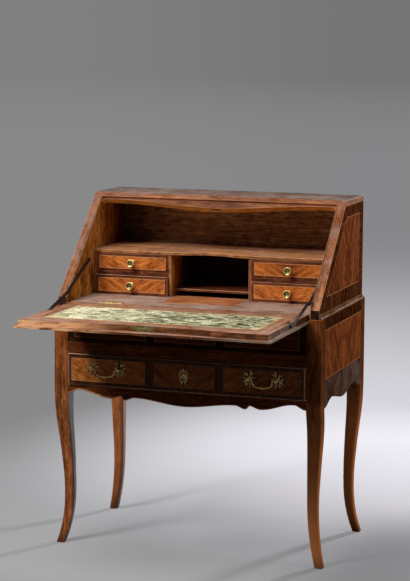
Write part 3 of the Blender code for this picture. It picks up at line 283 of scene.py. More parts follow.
class DeskFinish(bpy.types.PropertyGroup):
    """Colours of the woods, the leather and the metals."""

    field_pale: colour("Field, pale", "Pale stripe of the panels' veneer", 184, 102, 56)
    field_deep: colour("Field, deep", "Deep stripe of the panels' veneer", 90, 41, 22)
    band_pale: colour("Band, pale", "Pale stripe of the crossbanding", 98, 52, 24)
    band_deep: colour("Band, deep", "Deep stripe of the crossbanding", 46, 24, 11)
    stile_pale: colour("Stile, pale", "Pale stripe of the case's front edges", 190, 122, 78)
    stile_deep: colour("Stile, deep", "Deep stripe of the case's front edges", 116, 66, 38)
    leg_pale: colour("Leg, pale", "Pale stripe of the legs", 210, 128, 74)
    leg_deep: colour("Leg, deep", "Deep stripe of the legs", 118, 64, 35)
    border_pale: colour("Border, pale", "Pale stripe of the flap's border", 200, 136, 94)
    border_deep: colour("Border, deep", "Deep stripe of the flap's border", 122, 70, 42)
    cross_pale: colour("Side band, pale", "Pale stripe of the sides' crossbanding", 122, 66, 36)
    cross_deep: colour("Side band, deep", "Deep stripe of the sides' crossbanding", 64, 33, 19)
    bead_pale: colour("Bead, pale", "Pale stripe of the apron's bead", 240, 164, 116)
    bead_deep: colour("Bead, deep", "Deep stripe of the apron's bead", 176, 104, 66)
    rim_pale: colour("Rim, pale", "Pale stripe of the small drawers' edges and the rails", 136, 72, 42)
    rim_deep: colour("Rim, deep", "Deep stripe of the small drawers' edges and the rails", 78, 36, 20)
    shelf_pale: colour("Shelf, pale", "Pale stripe of the shelf", 212, 144, 88)
    shelf_deep: colour("Shelf, deep", "Deep stripe of the shelf", 132, 80, 44)
    floor_pale: colour("Desk floor, pale", "Pale stripe of the desk floor", 184, 146, 124)
    floor_deep: colour("Desk floor, deep", "Deep stripe of the desk floor", 124, 88, 72)
    string: colour("String", "Pale inlaid strings", 196, 142, 92)
    edge: colour("Worn edge", "Bare wood on worn edges", 214, 158, 118)
    drawer_pale: colour("Drawer, pale", "Pale stripe of the drawers' panels", 232, 140, 64)
    drawer_deep: colour("Drawer, deep", "Deep stripe of the drawers' panels", 158, 74, 26)
    inside_pale: colour("Inside, pale", "Pale stripe of the fitted interior", 246, 178, 88)
    inside_deep: colour("Inside, deep", "Deep stripe of the fitted interior", 190, 112, 44)
    back_pale: colour("Back boards, pale", "Pale stripe of the back boards", 240, 204, 160)
    back_deep: colour("Back boards, deep", "Deep stripe of the back boards", 156, 126, 94)
    oak_pale: colour("Oak, pale", "Pale stripe of the oak carcase", 176, 134, 90)
    oak_deep: colour("Oak, deep", "Deep stripe of the oak carcase", 112, 78, 46)
    # Greyed polish and dust; on the top board and the waist mouldings also a painted grey reflection
    haze: colour("Haze", "Greyed polish on level surfaces", 182, 162, 150)
    leather_pale: colour("Leather, pale", "Cream of the writing leather", 253, 244, 204)
    leather_green: colour("Leather, green", "Grey-green of the writing leather", 190, 188, 146)
    leather_dark: colour("Leather, dark", "Stains on the writing leather", 58, 58, 40)
    leather_edge: colour("Leather, edge", "Rubbed rim of the writing leather", 190, 156, 104)
    brass_pale: colour("Brass, pale", "Rubbed brass of the knobs", 236, 208, 140)
    brass_deep: colour("Brass, deep", "Tarnished brass of the knobs", 142, 116, 62)
    verdigris: colour("Verdigris", "Green stain in the knobs' dishes", 112, 112, 66)
    bronze_pale: colour("Bronze, pale", "Rubbed tips of the handles", 176, 150, 98)
    bronze_deep: colour("Bronze, deep", "Tarnish of the handles", 54, 44, 24)
    hinge_pale: colour("Hinge, pale", "Rubbed brass of the hinges", 214, 184, 128)
    hinge_deep: colour("Hinge, deep", "Tarnished brass of the hinges", 150, 114, 74)
    brown_pale: colour("Dull hinge, pale", "Browned brass of the right hinge", 158, 122, 92)
    brown_deep: colour("Dull hinge, deep", "Deep brown of the right hinge", 112, 80, 58)
    lock_pale: colour("Lock plate, pale", "Rubbed brass of the lock plate", 150, 138, 84)
    lock_deep: colour("Lock plate, deep", "Tarnished brass of the lock plate", 92, 84, 48)
    iron_pale: colour("Iron, pale", "Rubbed iron of the stays", 66, 58, 52)
    iron_deep: colour("Iron, deep", "Black iron of the stays", 30, 26, 24)


class DeskStage(bpy.types.PropertyGroup):
    """Camera and lamps."""

    eye: bpy.props.FloatVectorProperty(
        name="Eye", description="Camera's place", default=(1.6771, -4.7124, 1.4269),
        subtype="TRANSLATION", size=3,
    )
    yaw: number("Yaw", "Camera's turn", 0.335, subtype="ANGLE")
    pitch: number("Pitch", "Camera's dip", 0.1182, subtype="ANGLE")
    roll: number("Roll", "Camera's tilt", 0.0057, subtype="ANGLE")
    lens: number("Lens", "Focal length in millimetres", 114.99, subtype="DISTANCE_CAMERA")
    rise: number("Rise", "Camera's vertical shift", -0.065)
    key_watts: number("Key", "Lamp in front, to the left", 60.0, subtype="POWER")
    rim_watts: number("Rim", "Lamp behind, to the right", 74.0, subtype="POWER")
    top_watts: number("Top", "Lamp overhead", 62.0, subtype="POWER")
    side_watts: number("Side", "Lamp to the right", 9.0, subtype="POWER")
    ambient: number("Ambient", "Even light from all round", 0.03, min=0)
    backdrop: colour("Backdrop", "Far backdrop, to the left", 128, 128, 129)
    backdrop_right: colour("Backdrop, right", "Far backdrop, to the right", 116, 116, 117)
    middle: colour("Middle", "Backdrop's lower part, to the left", 136, 136, 137)
    middle_right: colour("Middle, right", "Backdrop's lower part, to the right", 134, 134, 136)
    pool: colour("Pool", "Lit floor behind the desk", 223, 221, 228)
    ground: colour("Ground", "Floor round the desk", 160, 160, 162)
    corner: colour("Corner", "Dim floor in front, to the right", 100, 100, 102)


class Wire:
    """A shader value that adds, scales and compares like a number."""

    def __init__(self, net, socket):
        self.net = net
        self.socket = socket

    def __add__(self, other):
        return self.net.math("ADD", self, other)

    def __sub__(self, other):
        return self.net.math("SUBTRACT", self, other)

    def __rsub__(self, other):
        return self.net.math("SUBTRACT", other, self)

    def __mul__(self, other):
        return self.net.math("MULTIPLY", self, other)

    def __neg__(self):
        return self.net.math("MULTIPLY", self, -1.0)

    def __abs__(self):
        return self.net.math("ABSOLUTE", self)

    __radd__ = __add__
    __rmul__ = __mul__


class Net:
    """Lays out the shader nodes of one material or group."""

    def __init__(self, tree):
        self.tree = tree
        self.source = None

    def add(self, kind, **fields):
        node = self.tree.nodes.new(kind)
        for key, value in fields.items():
            setattr(node, key, value)
        return node

    def feed(self, socket, value):
        if isinstance(value, Wire):
            self.tree.links.new(value.socket, socket)
        elif socket.type == "RGBA":
            socket.default_value = (*value[:3], 1.0)
        else:
            socket.default_value = value

    def math(self, operation, *values, clamp=False):
        node = self.add("ShaderNodeMath", operation=operation, use_clamp=clamp)
        for socket, value in zip(node.inputs, values):
            self.feed(socket, value)
        return Wire(self, node.outputs[0])

    def least(self, first, *others):
        for other in others:
            first = self.math("MINIMUM", first, other)
        return first

    def most(self, first, *others):
        for other in others:
            first = self.math("MAXIMUM", first, other)
        return first

    def ramp(self, value, low, high):
        node = self.add("ShaderNodeMapRange", interpolation_type="SMOOTHSTEP")
        self.feed(node.inputs["Value"], value)
        self.feed(node.inputs["From Min"], low)
        self.feed(node.inputs["From Max"], high)
        return Wire(self, node.outputs["Result"])

    def mix(self, share, first, second, blend="MIX"):
        node = self.add("ShaderNodeMix", data_type="RGBA", blend_type=blend)
        self.feed(node.inputs[0], share)
        self.feed(node.inputs[6], first)
        self.feed(node.inputs[7], second)
        return Wire(self, node.outputs[2])

    def blend(self, share, first, second):
        node = self.add("ShaderNodeMix", data_type="FLOAT")
        self.feed(node.inputs[0], share)
        self.feed(node.inputs[2], first)
        self.feed(node.inputs[3], second)
        return Wire(self, node.outputs[0])

    def vector(self, x, y, z):
        node = self.add("ShaderNodeCombineXYZ")
        for socket, value in zip(node.inputs, (x, y, z)):
            self.feed(socket, value)
        return Wire(self, node.outputs[0])

    def split(self, wire):
        node = self.add("ShaderNodeSeparateXYZ")
        self.feed(node.inputs[0], wire)
        return [Wire(self, s) for s in node.outputs]

    def stretch(self, place, x, y, z):
        node = self.add("ShaderNodeVectorMath", operation="MULTIPLY")
        self.feed(node.inputs[0], place)
        self.feed(node.inputs[1], (x, y, z))
        return Wire(self, node.outputs[0])

    def noise(self, place, scale=1.0, detail=2.0, roughness=0.5, distortion=0.0):
        node = self.add("ShaderNodeTexNoise")
        self.feed(node.inputs["Vector"], place)
        for label, value in (
            ("Scale", scale), ("Detail", detail), ("Roughness", roughness), ("Distortion", distortion),
        ):
            self.feed(node.inputs[label], value)
        return Wire(self, node.outputs[0])

    def bump(self, shader, height, strength, distance):
        node = self.add("ShaderNodeBump")
        node.inputs["Strength"].default_value = strength
        node.inputs["Distance"].default_value = distance
        self.feed(node.inputs["Height"], height)
        self.tree.links.new(node.outputs[0], shader.inputs["Normal"])

    def show(self, shader, kind="Material"):
        out = self.add("ShaderNodeOutput" + kind)
        self.tree.links.new(shader.outputs[0], out.inputs["Surface"])

    def coordinates(self, output="Object"):
        if self.source is None:
            self.source = self.add("ShaderNodeTexCoord")
        return Wire(self, self.source.outputs[output])

    def place(self):
        return self.split(self.coordinates("Object"))

    def facing(self):
        return self.split(self.coordinates("Normal"))

    def attribute(self, name):
        node = self.add("ShaderNodeAttribute", attribute_name=name, attribute_type="GEOMETRY")
        return Wire(self, node.outputs["Fac"])

    def group(self, name, **values):
        node = self.add("ShaderNodeGroup", node_tree=bpy.data.node_groups[name])
        for label, value in values.items():
            self.feed(node.inputs[label.replace("_", " ")], value)
        return [Wire(self, s) for s in node.outputs]


def open_group(name, inputs, outputs):
    """Starts a node group and returns its net, its inputs by name and a call that fills its outputs."""
    tree = bpy.data.node_groups.new(name, "ShaderNodeTree")
    for label, kind in inputs:
        tree.interface.new_socket(name=label, in_out="INPUT", socket_type="NodeSocket" + kind)
    for label, kind in outputs:
        tree.interface.new_socket(name=label, in_out="OUTPUT", socket_type="NodeSocket" + kind)
    net = Net(tree)
    given = {s.name: Wire(net, s) for s in net.add("NodeGroupInput").outputs if s.name}
    sink = net.add("NodeGroupOutput")

    def give(label, wire):
        net.feed(sink.inputs[label], wire)

    return net, given, give


def wood_grain_group():
    """Striped wood: Place runs along, across and through the grain, in metres."""
    net, given, give = open_group(
        "Wood grain",
        [("Place", "Vector"), ("Pale", "Color"), ("Deep", "Color"), ("Stripe", "Float"), ("Shift", "Float")],
        [("Color", "Color"), ("Relief", "Float")],
    )
    along, across, through = net.split(given["Place"])
    shift = given["Shift"]
    place = net.vector(along + shift * 1.31, across + shift * 0.77, through + shift * 0.43)
    broad = net.noise(net.stretch(place, 3.0, 34.0, 34.0), detail=3.0, roughness=0.6, distortion=0.8)
    stripe = net.noise(net.stretch(place, 5.0, 165.0, 165.0), detail=4.0, roughness=0.7, distortion=0.5)
    streak = net.noise(net.stretch(place, 22.0, 290.0, 290.0), detail=4.0, roughness=0.75)
    mottle = net.noise(net.stretch(place, 30.0, 70.0, 70.0), detail=5.0, roughness=0.72, distortion=0.5)
    pore = net.noise(net.stretch(place, 110.0, 1700.0, 1700.0), detail=1.0)
    grime = net.noise(net.stretch(place, 9.0, 14.0, 14.0), detail=4.0, roughness=0.6, distortion=0.4)
    figure = net.ramp(broad, 0.32, 0.68) * 0.42 + net.ramp(stripe, 0.34, 0.66) * 0.58
    figure = net.math("ADD", (figure - 0.5) * given["Stripe"], 0.5, clamp=True)
    shown = net.mix(figure, given["Deep"], given["Pale"])
    shown = net.mix(net.ramp(streak, 0.47, 0.62) * 0.75, shown, (0.36, 0.29, 0.24), "MULTIPLY")
    shown = net.mix(net.ramp(mottle, 0.46, 0.66) * 0.75, shown, (0.34, 0.27, 0.22), "MULTIPLY")
    shown = net.mix((1.0 - net.ramp(mottle, 0.32, 0.46)) * 0.5, shown, (1.7, 1.65, 1.6), "MULTIPLY")
    shown = net.mix(net.ramp(pore, 0.58, 0.78) * 0.45, shown, (0.42, 0.36, 0.32), "MULTIPLY")
    shown = net.mix(net.ramp(grime, 0.46, 0.66) * 0.5, shown, (0.42, 0.34, 0.28), "MULTIPLY")
    give("Color", shown)
    give("Relief", stripe * 0.4 + streak * 0.3 + pore * 0.3)


def panel_depth_group():
    """How far a point lies inside an upright rectangle; below zero it lies outside."""
    net, given, give = open_group(
        "Panel depth",
        [("U", "Float"), ("V", "Float"), ("Middle U", "Float"), ("Middle V", "Float"),
         ("Half U", "Float"), ("Half V", "Float")],
        [("Depth", "Float")],
    )
    beside = given["Half U"] - abs(given["U"] - given["Middle U"])
    above = given["Half V"] - abs(given["V"] - given["Middle V"])
    give("Depth", net.math("MINIMUM", beside, above))


def inlay_group():
    """Field, pale string and crossbanding laid side by side by depth inside the panel."""
    net, given, give = open_group(
        "Inlay",
        [("Depth", "Float"), ("Width", "Float"), ("Field", "Color"), ("String", "Color"), ("Band", "Color")],
        [("Color", "Color"), ("Line", "Float")],
    )
    soft = 0.00035
    inside = net.ramp(given["Depth"], -soft, soft)
    past = net.ramp(given["Depth"] - given["Width"], -soft, soft)
    line = inside * (1.0 - past)
    shown = net.mix(inside, given["Band"], given["Field"])
    give("Color", net.mix(line * 0.85, shown, given["String"]))
    give("Line", line)


def rubbing_group():
    """Rubbed edges and scuffs: Edge is 1 on a rounded arris and 0 away from it."""
    net, given, give = open_group(
        "Rubbing",
        [("Color", "Color"), ("Place", "Vector"), ("Edge", "Float"), ("Bare", "Color"), ("Amount", "Float")],
        [("Color", "Color"), ("Mask", "Float")],
    )
    patch = net.noise(given["Place"], scale=26.0, detail=4.0, roughness=0.65)
    scuff = net.noise(given["Place"], scale=210.0, detail=3.0, roughness=0.65)
    rubbed = net.ramp(given["Edge"] * 0.6 + patch * 0.7 + scuff * 0.35, 0.8, 1.12) * given["Amount"]
    fleck = net.ramp(scuff, 0.6, 0.72) * net.ramp(patch, 0.48, 0.6) * given["Amount"] * 0.45
    mask = net.math("MAXIMUM", rubbed, fleck, clamp=True)
    give("Color", net.mix(mask, given["Color"], given["Bare"]))
    give("Mask", mask)


def haze_and_sheen_group():
    """Greyed polish, stains and dust in blotches; on the top board and the waist mouldings the grey also
    stands for a painted reflection.
    """
    net, given, give = open_group(
        "Haze",
        [("Color", "Color"), ("Place", "Vector"), ("Grey", "Color"), ("Amount", "Float")],
        [("Color", "Color"), ("Mask", "Float")],
    )
    blotch = net.noise(given["Place"], scale=13.0, detail=5.0, roughness=0.6, distortion=0.6)
    fine = net.noise(given["Place"], scale=120.0, detail=3.0, roughness=0.6)
    mask = net.ramp(blotch * 0.75 + fine * 0.25, 0.36, 0.66) * given["Amount"]
    dirt = net.ramp(blotch * 0.4 + fine * 0.6, 0.56, 0.74) * given["Amount"] * 0.5
    shown = net.mix(mask, given["Color"], given["Grey"])
    give("Color", net.mix(dirt, shown, HAZE_DIRT, "MULTIPLY"))
    give("Mask", mask)


class Look:
    """One finish: its net, its coordinates and the desk's settings; close() ends it as polished wood."""

    def __init__(self, name):
        self.material = bpy.data.materials.new(name)
        self.material.use_nodes = True
        self.net = Net(self.material.node_tree)
        self.net.tree.nodes.clear()
        self.finish = bpy.context.scene.desk_finish
        self.sizes = bpy.context.scene.desk_sizes
        self.x, self.y, self.z = self.net.place()
        self.nx, self.ny, self.nz = self.net.facing()
        self.relief = None

    def grain(self, kind, along, across, through, stripe=1.0, shift=0.0):
        """Wood of one kind, laid along the given direction; the first one gives the relief."""
        shown, relief = self.net.group(
            "Wood grain", Place=self.net.vector(along, across, through), Stripe=stripe, Shift=shift,
            Pale=getattr(self.finish, kind + "_pale"), Deep=getattr(self.finish, kind + "_deep"),
        )
        if self.relief is None:
            self.relief = relief
        return shown

    def chevron(self, kind, beside, up, through, middle, lean=0.42, shift=0.0):
        """Two mirrored leaves of veneer whose stripes meet in a V on the middle line."""
        off = abs(beside - middle)
        across = off * math.cos(lean) - up * math.sin(lean)
        along = off * math.sin(lean) + up * math.cos(lean)
        return self.grain(kind, along, across, through, shift=shift)

    def slanted(self, kind, off, up, through, lean, shift):
        """Veneer whose stripes lean up from the level."""
        along = off * math.cos(lean) + up * math.sin(lean)
        across = up * math.cos(lean) - off * math.sin(lean)
        return self.grain(kind, along, across, through, shift=shift)

    def right(self):
        """0 on the left half and 1 on the right half."""
        return self.net.ramp(self.x, -MIDDLE_BLEND, MIDDLE_BLEND)

    def inward(self, low):
        """1 on faces that look towards the desk's middle."""
        return self.net.ramp(-(self.nx * self.net.math("SIGN", self.x)), low, 0.8)

    def panel(self, u, v, low, high):
        """Depth inside the rectangle from low to high."""
        return self.net.group(
            "Panel depth", U=u, V=v, Middle_U=(low[0] + high[0]) / 2, Middle_V=(low[1] + high[1]) / 2,
            Half_U=(high[0] - low[0]) / 2, Half_V=(high[1] - low[1]) / 2,
        )[0]

    def inlay(self, depth, field, band, width=None, string=None):
        """Field inside, string at its rim, banding outside."""
        return self.net.group(
            "Inlay", Depth=depth, Width=width or self.sizes.string, Field=field, Band=band,
            String=string or self.finish.string,
        )[0]

    def rub(self, shown, amount=1.0):
        """Rubs the arrises bare."""
        return self.net.group(
            "Rubbing", Color=shown, Place=self.net.coordinates(), Edge=self.net.attribute("wear"),
            Bare=self.finish.edge, Amount=amount,
        )

    def haze(self, shown, amount):
        """Greys the polish in blotches, in places as a painted grey reflection."""
        return self.net.group(
            "Haze", Color=shown, Place=self.net.coordinates(), Grey=self.finish.haze, Amount=amount
        )[0]

    def close(self, shown, rub=0.0, rough=0.5, coat=0.0, bump=0.25, relief=None, dull=0.15, shine=0.12):
        """Rubs the arrises and ends the tree in a polished wood shader."""
        net = self.net
        if rub:
            shown, worn = self.rub(shown, rub)
        shader = net.add("ShaderNodeBsdfPrincipled")
        net.feed(shader.inputs["Base Color"], shown)
        uneven = net.noise(net.coordinates(), scale=45.0, detail=3.0)
        gloss = net.ramp(uneven, 0.3, 0.7) * 0.16 + (rough - 0.08)
        if rub:
            gloss = gloss + worn * dull
        net.feed(shader.inputs["Roughness"], gloss)
        shader.inputs["Specular IOR Level"].default_value = shine
        net.feed(shader.inputs["Coat Weight"], coat)
        shader.inputs["Coat Roughness"].default_value = 0.22
        net.bump(shader, relief or self.relief, bump, WOOD_BUMP)
        net.show(shader)
        return self.material


def upper_side_look():
    """Crossbanded side with a V of veneer, its slanted front edge and its plain inner face; painted shade on
    the inner face, in the rebate, on the left stile's edge and below the stile.
    """
    look = Look("side_veneer_upper")
    finish, sizes = look.finish, look.sizes
    net, x, y, z = look.net, look.x, look.y, look.z
    slant = (y - z + SLANT_LINE) * ROOT_HALF - sizes.slant_band
    behind = (TOP_HIGH.y - sizes.side_band * 1.1) - y
    level = net.least(z - (WAIST_HIGH.z + sizes.side_band), (TOP_HIGH.z - sizes.side_band * 1.15) - z)
    upright = net.least(slant, behind)
    depth = net.least(upright, level)
    middle = (TOP_LOW.y + TOP_HIGH.y) / 2 - CHEVRON_FORWARD
    field = look.chevron("field", y, z, x, middle, shift=1.0)
    flat_band = look.grain("cross", z, y, x, shift=2.0)
    stood_band = look.grain("cross", y, z, x, shift=3.0)
    band = net.mix(net.math("LESS_THAN", level, upright), stood_band, flat_band)
    shown = look.inlay(depth, field, band)
    edging = look.grain("stile", (y + z) * ROOT_HALF, x, (y - z) * ROOT_HALF, stripe=0.9, shift=4.0)
    edging = look.haze(edging, 0.3)
    # Painted shade: the left stile's edge a little darker than the right one
    edging = net.mix((1.0 - look.right()) * 0.15, edging, finish.band_deep)
    # Painted shade in the rebate along the stile's inner edge
    rebate_shade = 1.0 - net.ramp(abs(x) - SIDE_LOW.x, 0.0022, 0.0036)
    edging = net.mix(rebate_shade * 0.8, edging, PAINTED_SHADE)
    inner = look.grain("inside", z, y, x, shift=5.0)
    # Painted shade deepening towards the back of the inner face, where the light does not reach
    inner = net.mix(net.ramp(y, 0.2, 0.36) * 0.85, inner, PAINTED_SHADE)
    # Blotches on the inner face's lower front: partly a dark stain, partly the stay's painted shadow
    dapple = net.ramp(net.noise(net.coordinates(), scale=18.0, detail=4.0, roughness=0.65), 0.4, 0.62)
    low_front_shade = (1.0 - net.ramp(z, 0.74, 0.86)) * dapple
    inner = net.mix(low_front_shade * 0.55, inner, PAINTED_SHADE)
    forward = net.ramp((look.nz - look.ny) * ROOT_HALF, 0.55, 0.8)
    shown = net.mix(forward, shown, edging)
    shown = net.mix(look.inward(0.5), shown, inner)
    # Painted shade on the side's front-facing faces below the stile's foot
    blunt_shade = net.ramp(-look.ny, 0.86, 0.96) * net.ramp(-z, -0.72, -0.71)
    shown = net.mix(blunt_shade * 0.85, shown, BLUNT_SHADE)
    return look.close(shown, rub=0.8, rough=0.6, shine=SIDE_SHINE)


def lower_side_look():
    """Side of the lower case: dark top band, V of veneer, greyed band along the shaped edge."""
    look = Look("side_veneer_lower")
    net, x, y, z = look.net, look.x, look.y, look.z
    low = (LOWER_LOW.y + SIDE_MARGIN, LOWER_LOW.z + SIDE_FOOT_BAND)
    high = (LOWER_HIGH.y - SIDE_MARGIN, LOWER_HIGH.z - SIDE_HEAD_BAND)
    depth = look.panel(y, z, low, high)
    middle = (LOWER_LOW.y + LOWER_HIGH.y) / 2
    field = look.chevron("field", y, z, x, middle, shift=6.0)
    band = look.grain("band", z, y, x, shift=7.0)
    greyed = look.haze(band, 0.25)
    band = net.mix(net.ramp(-z, -low[1], -low[1] + 0.004), band, greyed)
    shown = look.inlay(depth, field, band)
    shown = net.mix(look.inward(0.5), shown, look.grain("oak", y, z, x))
    return look.close(shown, rub=0.8, rough=0.6, shine=SIDE_SHINE)


def leg_look():
    """Leg and post: upright grain, a pale string on the post, a dark foot, a painted grey reflection on the
    inner faces, painted shade on the posts and on the right legs' outward faces, painted light on the right
    shins and the back-left leg.
    """
    look = Look("leg_veneer")
    finish, sizes = look.finish, look.sizes
    net, x, y, z = look.net, look.x, look.y, look.z
    right = look.right()
    shown = look.grain("leg", z, x, y, stripe=0.9, shift=8.0)
    rise = net.ramp(z, LOWER_LOW.z, LOWER_LOW.z + 0.03)
    beside = abs(y - (LEG_LOW.y + 0.040))
    string = rise * (1.0 - net.ramp(beside, sizes.string * 0.4, sizes.string * 0.8))
    string = string * net.ramp(abs(look.nx), 0.6, 0.8)
    front = rise * net.ramp(-look.ny, 0.6, 0.8)
    inset = abs(abs(x) - (LOWER_HIGH.x - 0.006))
    string = net.most(string, front * (1.0 - net.ramp(inset, sizes.string * 0.4, sizes.string * 0.8)) * 0.6)
    shown = net.mix(string * 0.6, shown, finish.string)
    # Painted shade: the flap's shadow on the right posts' front faces
    right_post_shade = front * right * 0.2
    shown = net.mix(right_post_shade, shown, POST_SHADE)
    within = look.inward(0.35)
    # Painted grey reflection of the lit floor on the inner faces
    shown = net.mix(within * 0.7, shown, PAINTED_GREY_SHEEN)
    # Painted shade on the right legs' faces that look to the right
    turned_away = net.ramp(look.nx, 0.4, 0.8) * right
    shown = net.mix(turned_away * 0.45, shown, TURNED_SHADE)
    # Painted shade: the posts darkened and saturated where the flap's shadow falls
    shown = net.mix(rise * 0.5, shown, POST_SHADE_TINT, "MULTIPLY")
    # Painted light on the lower part of the right legs and on the back-left leg
    right_shin_light = right * (1.0 - net.ramp(z, 0.28, 0.45)) * 0.8
    back_left_light = (1.0 - right) * net.ramp(y, 0.1, 0.3) * 0.4
    lift = net.most(right_shin_light, back_left_light)
    shown = net.mix(lift, shown, finish.leg_pale)
    foot = 1.0 - net.ramp(z, 0.0, 0.045)
    shown = net.mix(foot * 0.55, shown, FOOT_DIRT)
    return look.close(shown, rub=0.8, rough=0.58, coat=within * 0.8, shine=SIDE_SHINE)


def front_look():
    """Frieze and apron: three panels under painted shade above, a plain rail and the shaped apron below."""
    look = Look("front_veneer")
    finish = look.finish
    net, x, y, z = look.net, look.x, look.y, look.z
    rail = FRIEZE_LOW.z + FRIEZE_RAIL
    top = FRIEZE_HIGH.z - FRIEZE_HEAD
    middle_depth = look.panel(x, z, (-PANEL_MIDDLE, rail + FRIEZE_FOOT), (PANEL_MIDDLE, top))
    outer_depth = look.panel(abs(x), z, (PANEL_NEAR, rail + FRIEZE_FOOT), (FRIEZE_END, top))
    depth = net.most(middle_depth, outer_depth)
    field = look.grain("field", x, z, y, shift=9.0)
    band = look.grain("band", z, x, y, shift=10.0)
    shown = look.inlay(depth, field, band)
    below = look.grain("field", x, z, y, stripe=0.7, shift=11.0)
    below = net.mix(0.4, below, finish.band_deep)
    # Painted shade: the flap's shadow over the frieze's panels
    shown = net.mix(0.55, shown, FRIEZE_SHADE)
    shown = net.mix(net.ramp(z, rail - 0.0004, rail + 0.0004), below, shown)
    joint = 1.0 - net.ramp(abs(z - rail), 0.0004, 0.0011)
    shown = net.mix(joint * 0.8, shown, JOINT_DIRT)
    return look.close(shown, rub=1.0, shine=SIDE_SHINE)


def drawer_look():
    """Long drawer's front: three strung panels in dark crossbanding, with painted light on the left and
    painted shade to the right.
    """
    look = Look("drawer_veneer")
    finish, sizes = look.finish, look.sizes
    net, x, y, z = look.net, look.x, look.y, look.z
    low, high = DRAWER_LOW.z + sizes.drawer_band, DRAWER_HIGH.z - sizes.drawer_band
    middle_depth = look.panel(x, z, (-PANEL_MIDDLE, low), (PANEL_MIDDLE, high))
    outer_depth = look.panel(abs(x), z, (PANEL_NEAR, low), (DRAWER_HIGH.x - DRAWER_END, high))
    depth = net.most(middle_depth, outer_depth)
    field = look.slanted("drawer", abs(x), z, y, lean=0.55, shift=12.0)
    patch = net.noise(net.coordinates(), scale=60.0, detail=4.0, roughness=0.65)
    # Painted light: orange patches on the left, where light reaches under the flap
    glow = (1.0 - net.ramp(x, -0.3, -0.1)) * net.ramp(patch, 0.4, 0.6) * 0.5
    field = net.mix(glow, field, LEFT_LIGHT_ORANGE)
    # Painted shade: the middle and right panels darkened where the flap's shadow falls
    field = net.mix(net.ramp(x, -0.24, -0.05) * 0.5, field, finish.band_deep)
    band = look.grain("band", z, x, y, shift=13.0)
    # Painted shade: the string darkened to the right, under the flap's shadow
    string = net.mix(net.ramp(x, -0.28, -0.08) * 0.7, finish.string, finish.band_deep)
    shown = look.inlay(depth, field, band, string=string)
    shown = net.mix(net.ramp(abs(look.ny), 0.5, 0.8), look.grain("band", x, z, y, shift=14.0), shown)
    rim = net.attribute("wear") * net.ramp(z, DRAWER_LOW.z, DRAWER_HIGH.z)
    shown = net.mix(rim * 0.7, shown, RIM_RUB)
    end = net.ramp(abs(x), DRAWER_HIGH.x - 0.0075, DRAWER_HIGH.x - 0.006)
    shown = net.mix(end * 0.6, shown, END_BAND)
    # Painted shade in the keyhole behind the plate's opening
    key = net.math("SQRT", x * x + (z - KEYHOLE_HIGH) * (z - KEYHOLE_HIGH))
    shown = net.mix(1.0 - net.ramp(key, 0.0045, 0.0065), shown, KEYHOLE_SHADE)
    return look.close(shown, rub=1.3)


def small_drawer_look(name):
    """Small drawer: strung panel in a dark edge, plain tray behind."""
    node = "small_drawer_" + name
    low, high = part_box(node)
    look = Look(node + "_veneer")
    sizes = look.sizes
    net, x, y, z = look.net, look.x, look.y, look.z
    rim = sizes.small_band
    depth = look.panel(x, z, (low.x + rim, low.z + rim), (high.x - rim, high.z - rim))
    shift = 15.0 + NESTS.index(name)
    field = look.slanted("drawer", abs(x - (low.x + high.x) / 2), z, y, lean=0.5, shift=shift)
    band = look.grain("rim", x, z, y, shift=shift + 5.0)
    shown = look.inlay(depth, field, band, sizes.string * 1.1)
    tray = look.grain("oak", y, z, x, shift=shift)
    shown = net.mix(net.ramp(y, low.y + 0.014, low.y + 0.0145), shown, tray)
    return look.close(shown, rub=0.9, rough=0.4, coat=0.1)


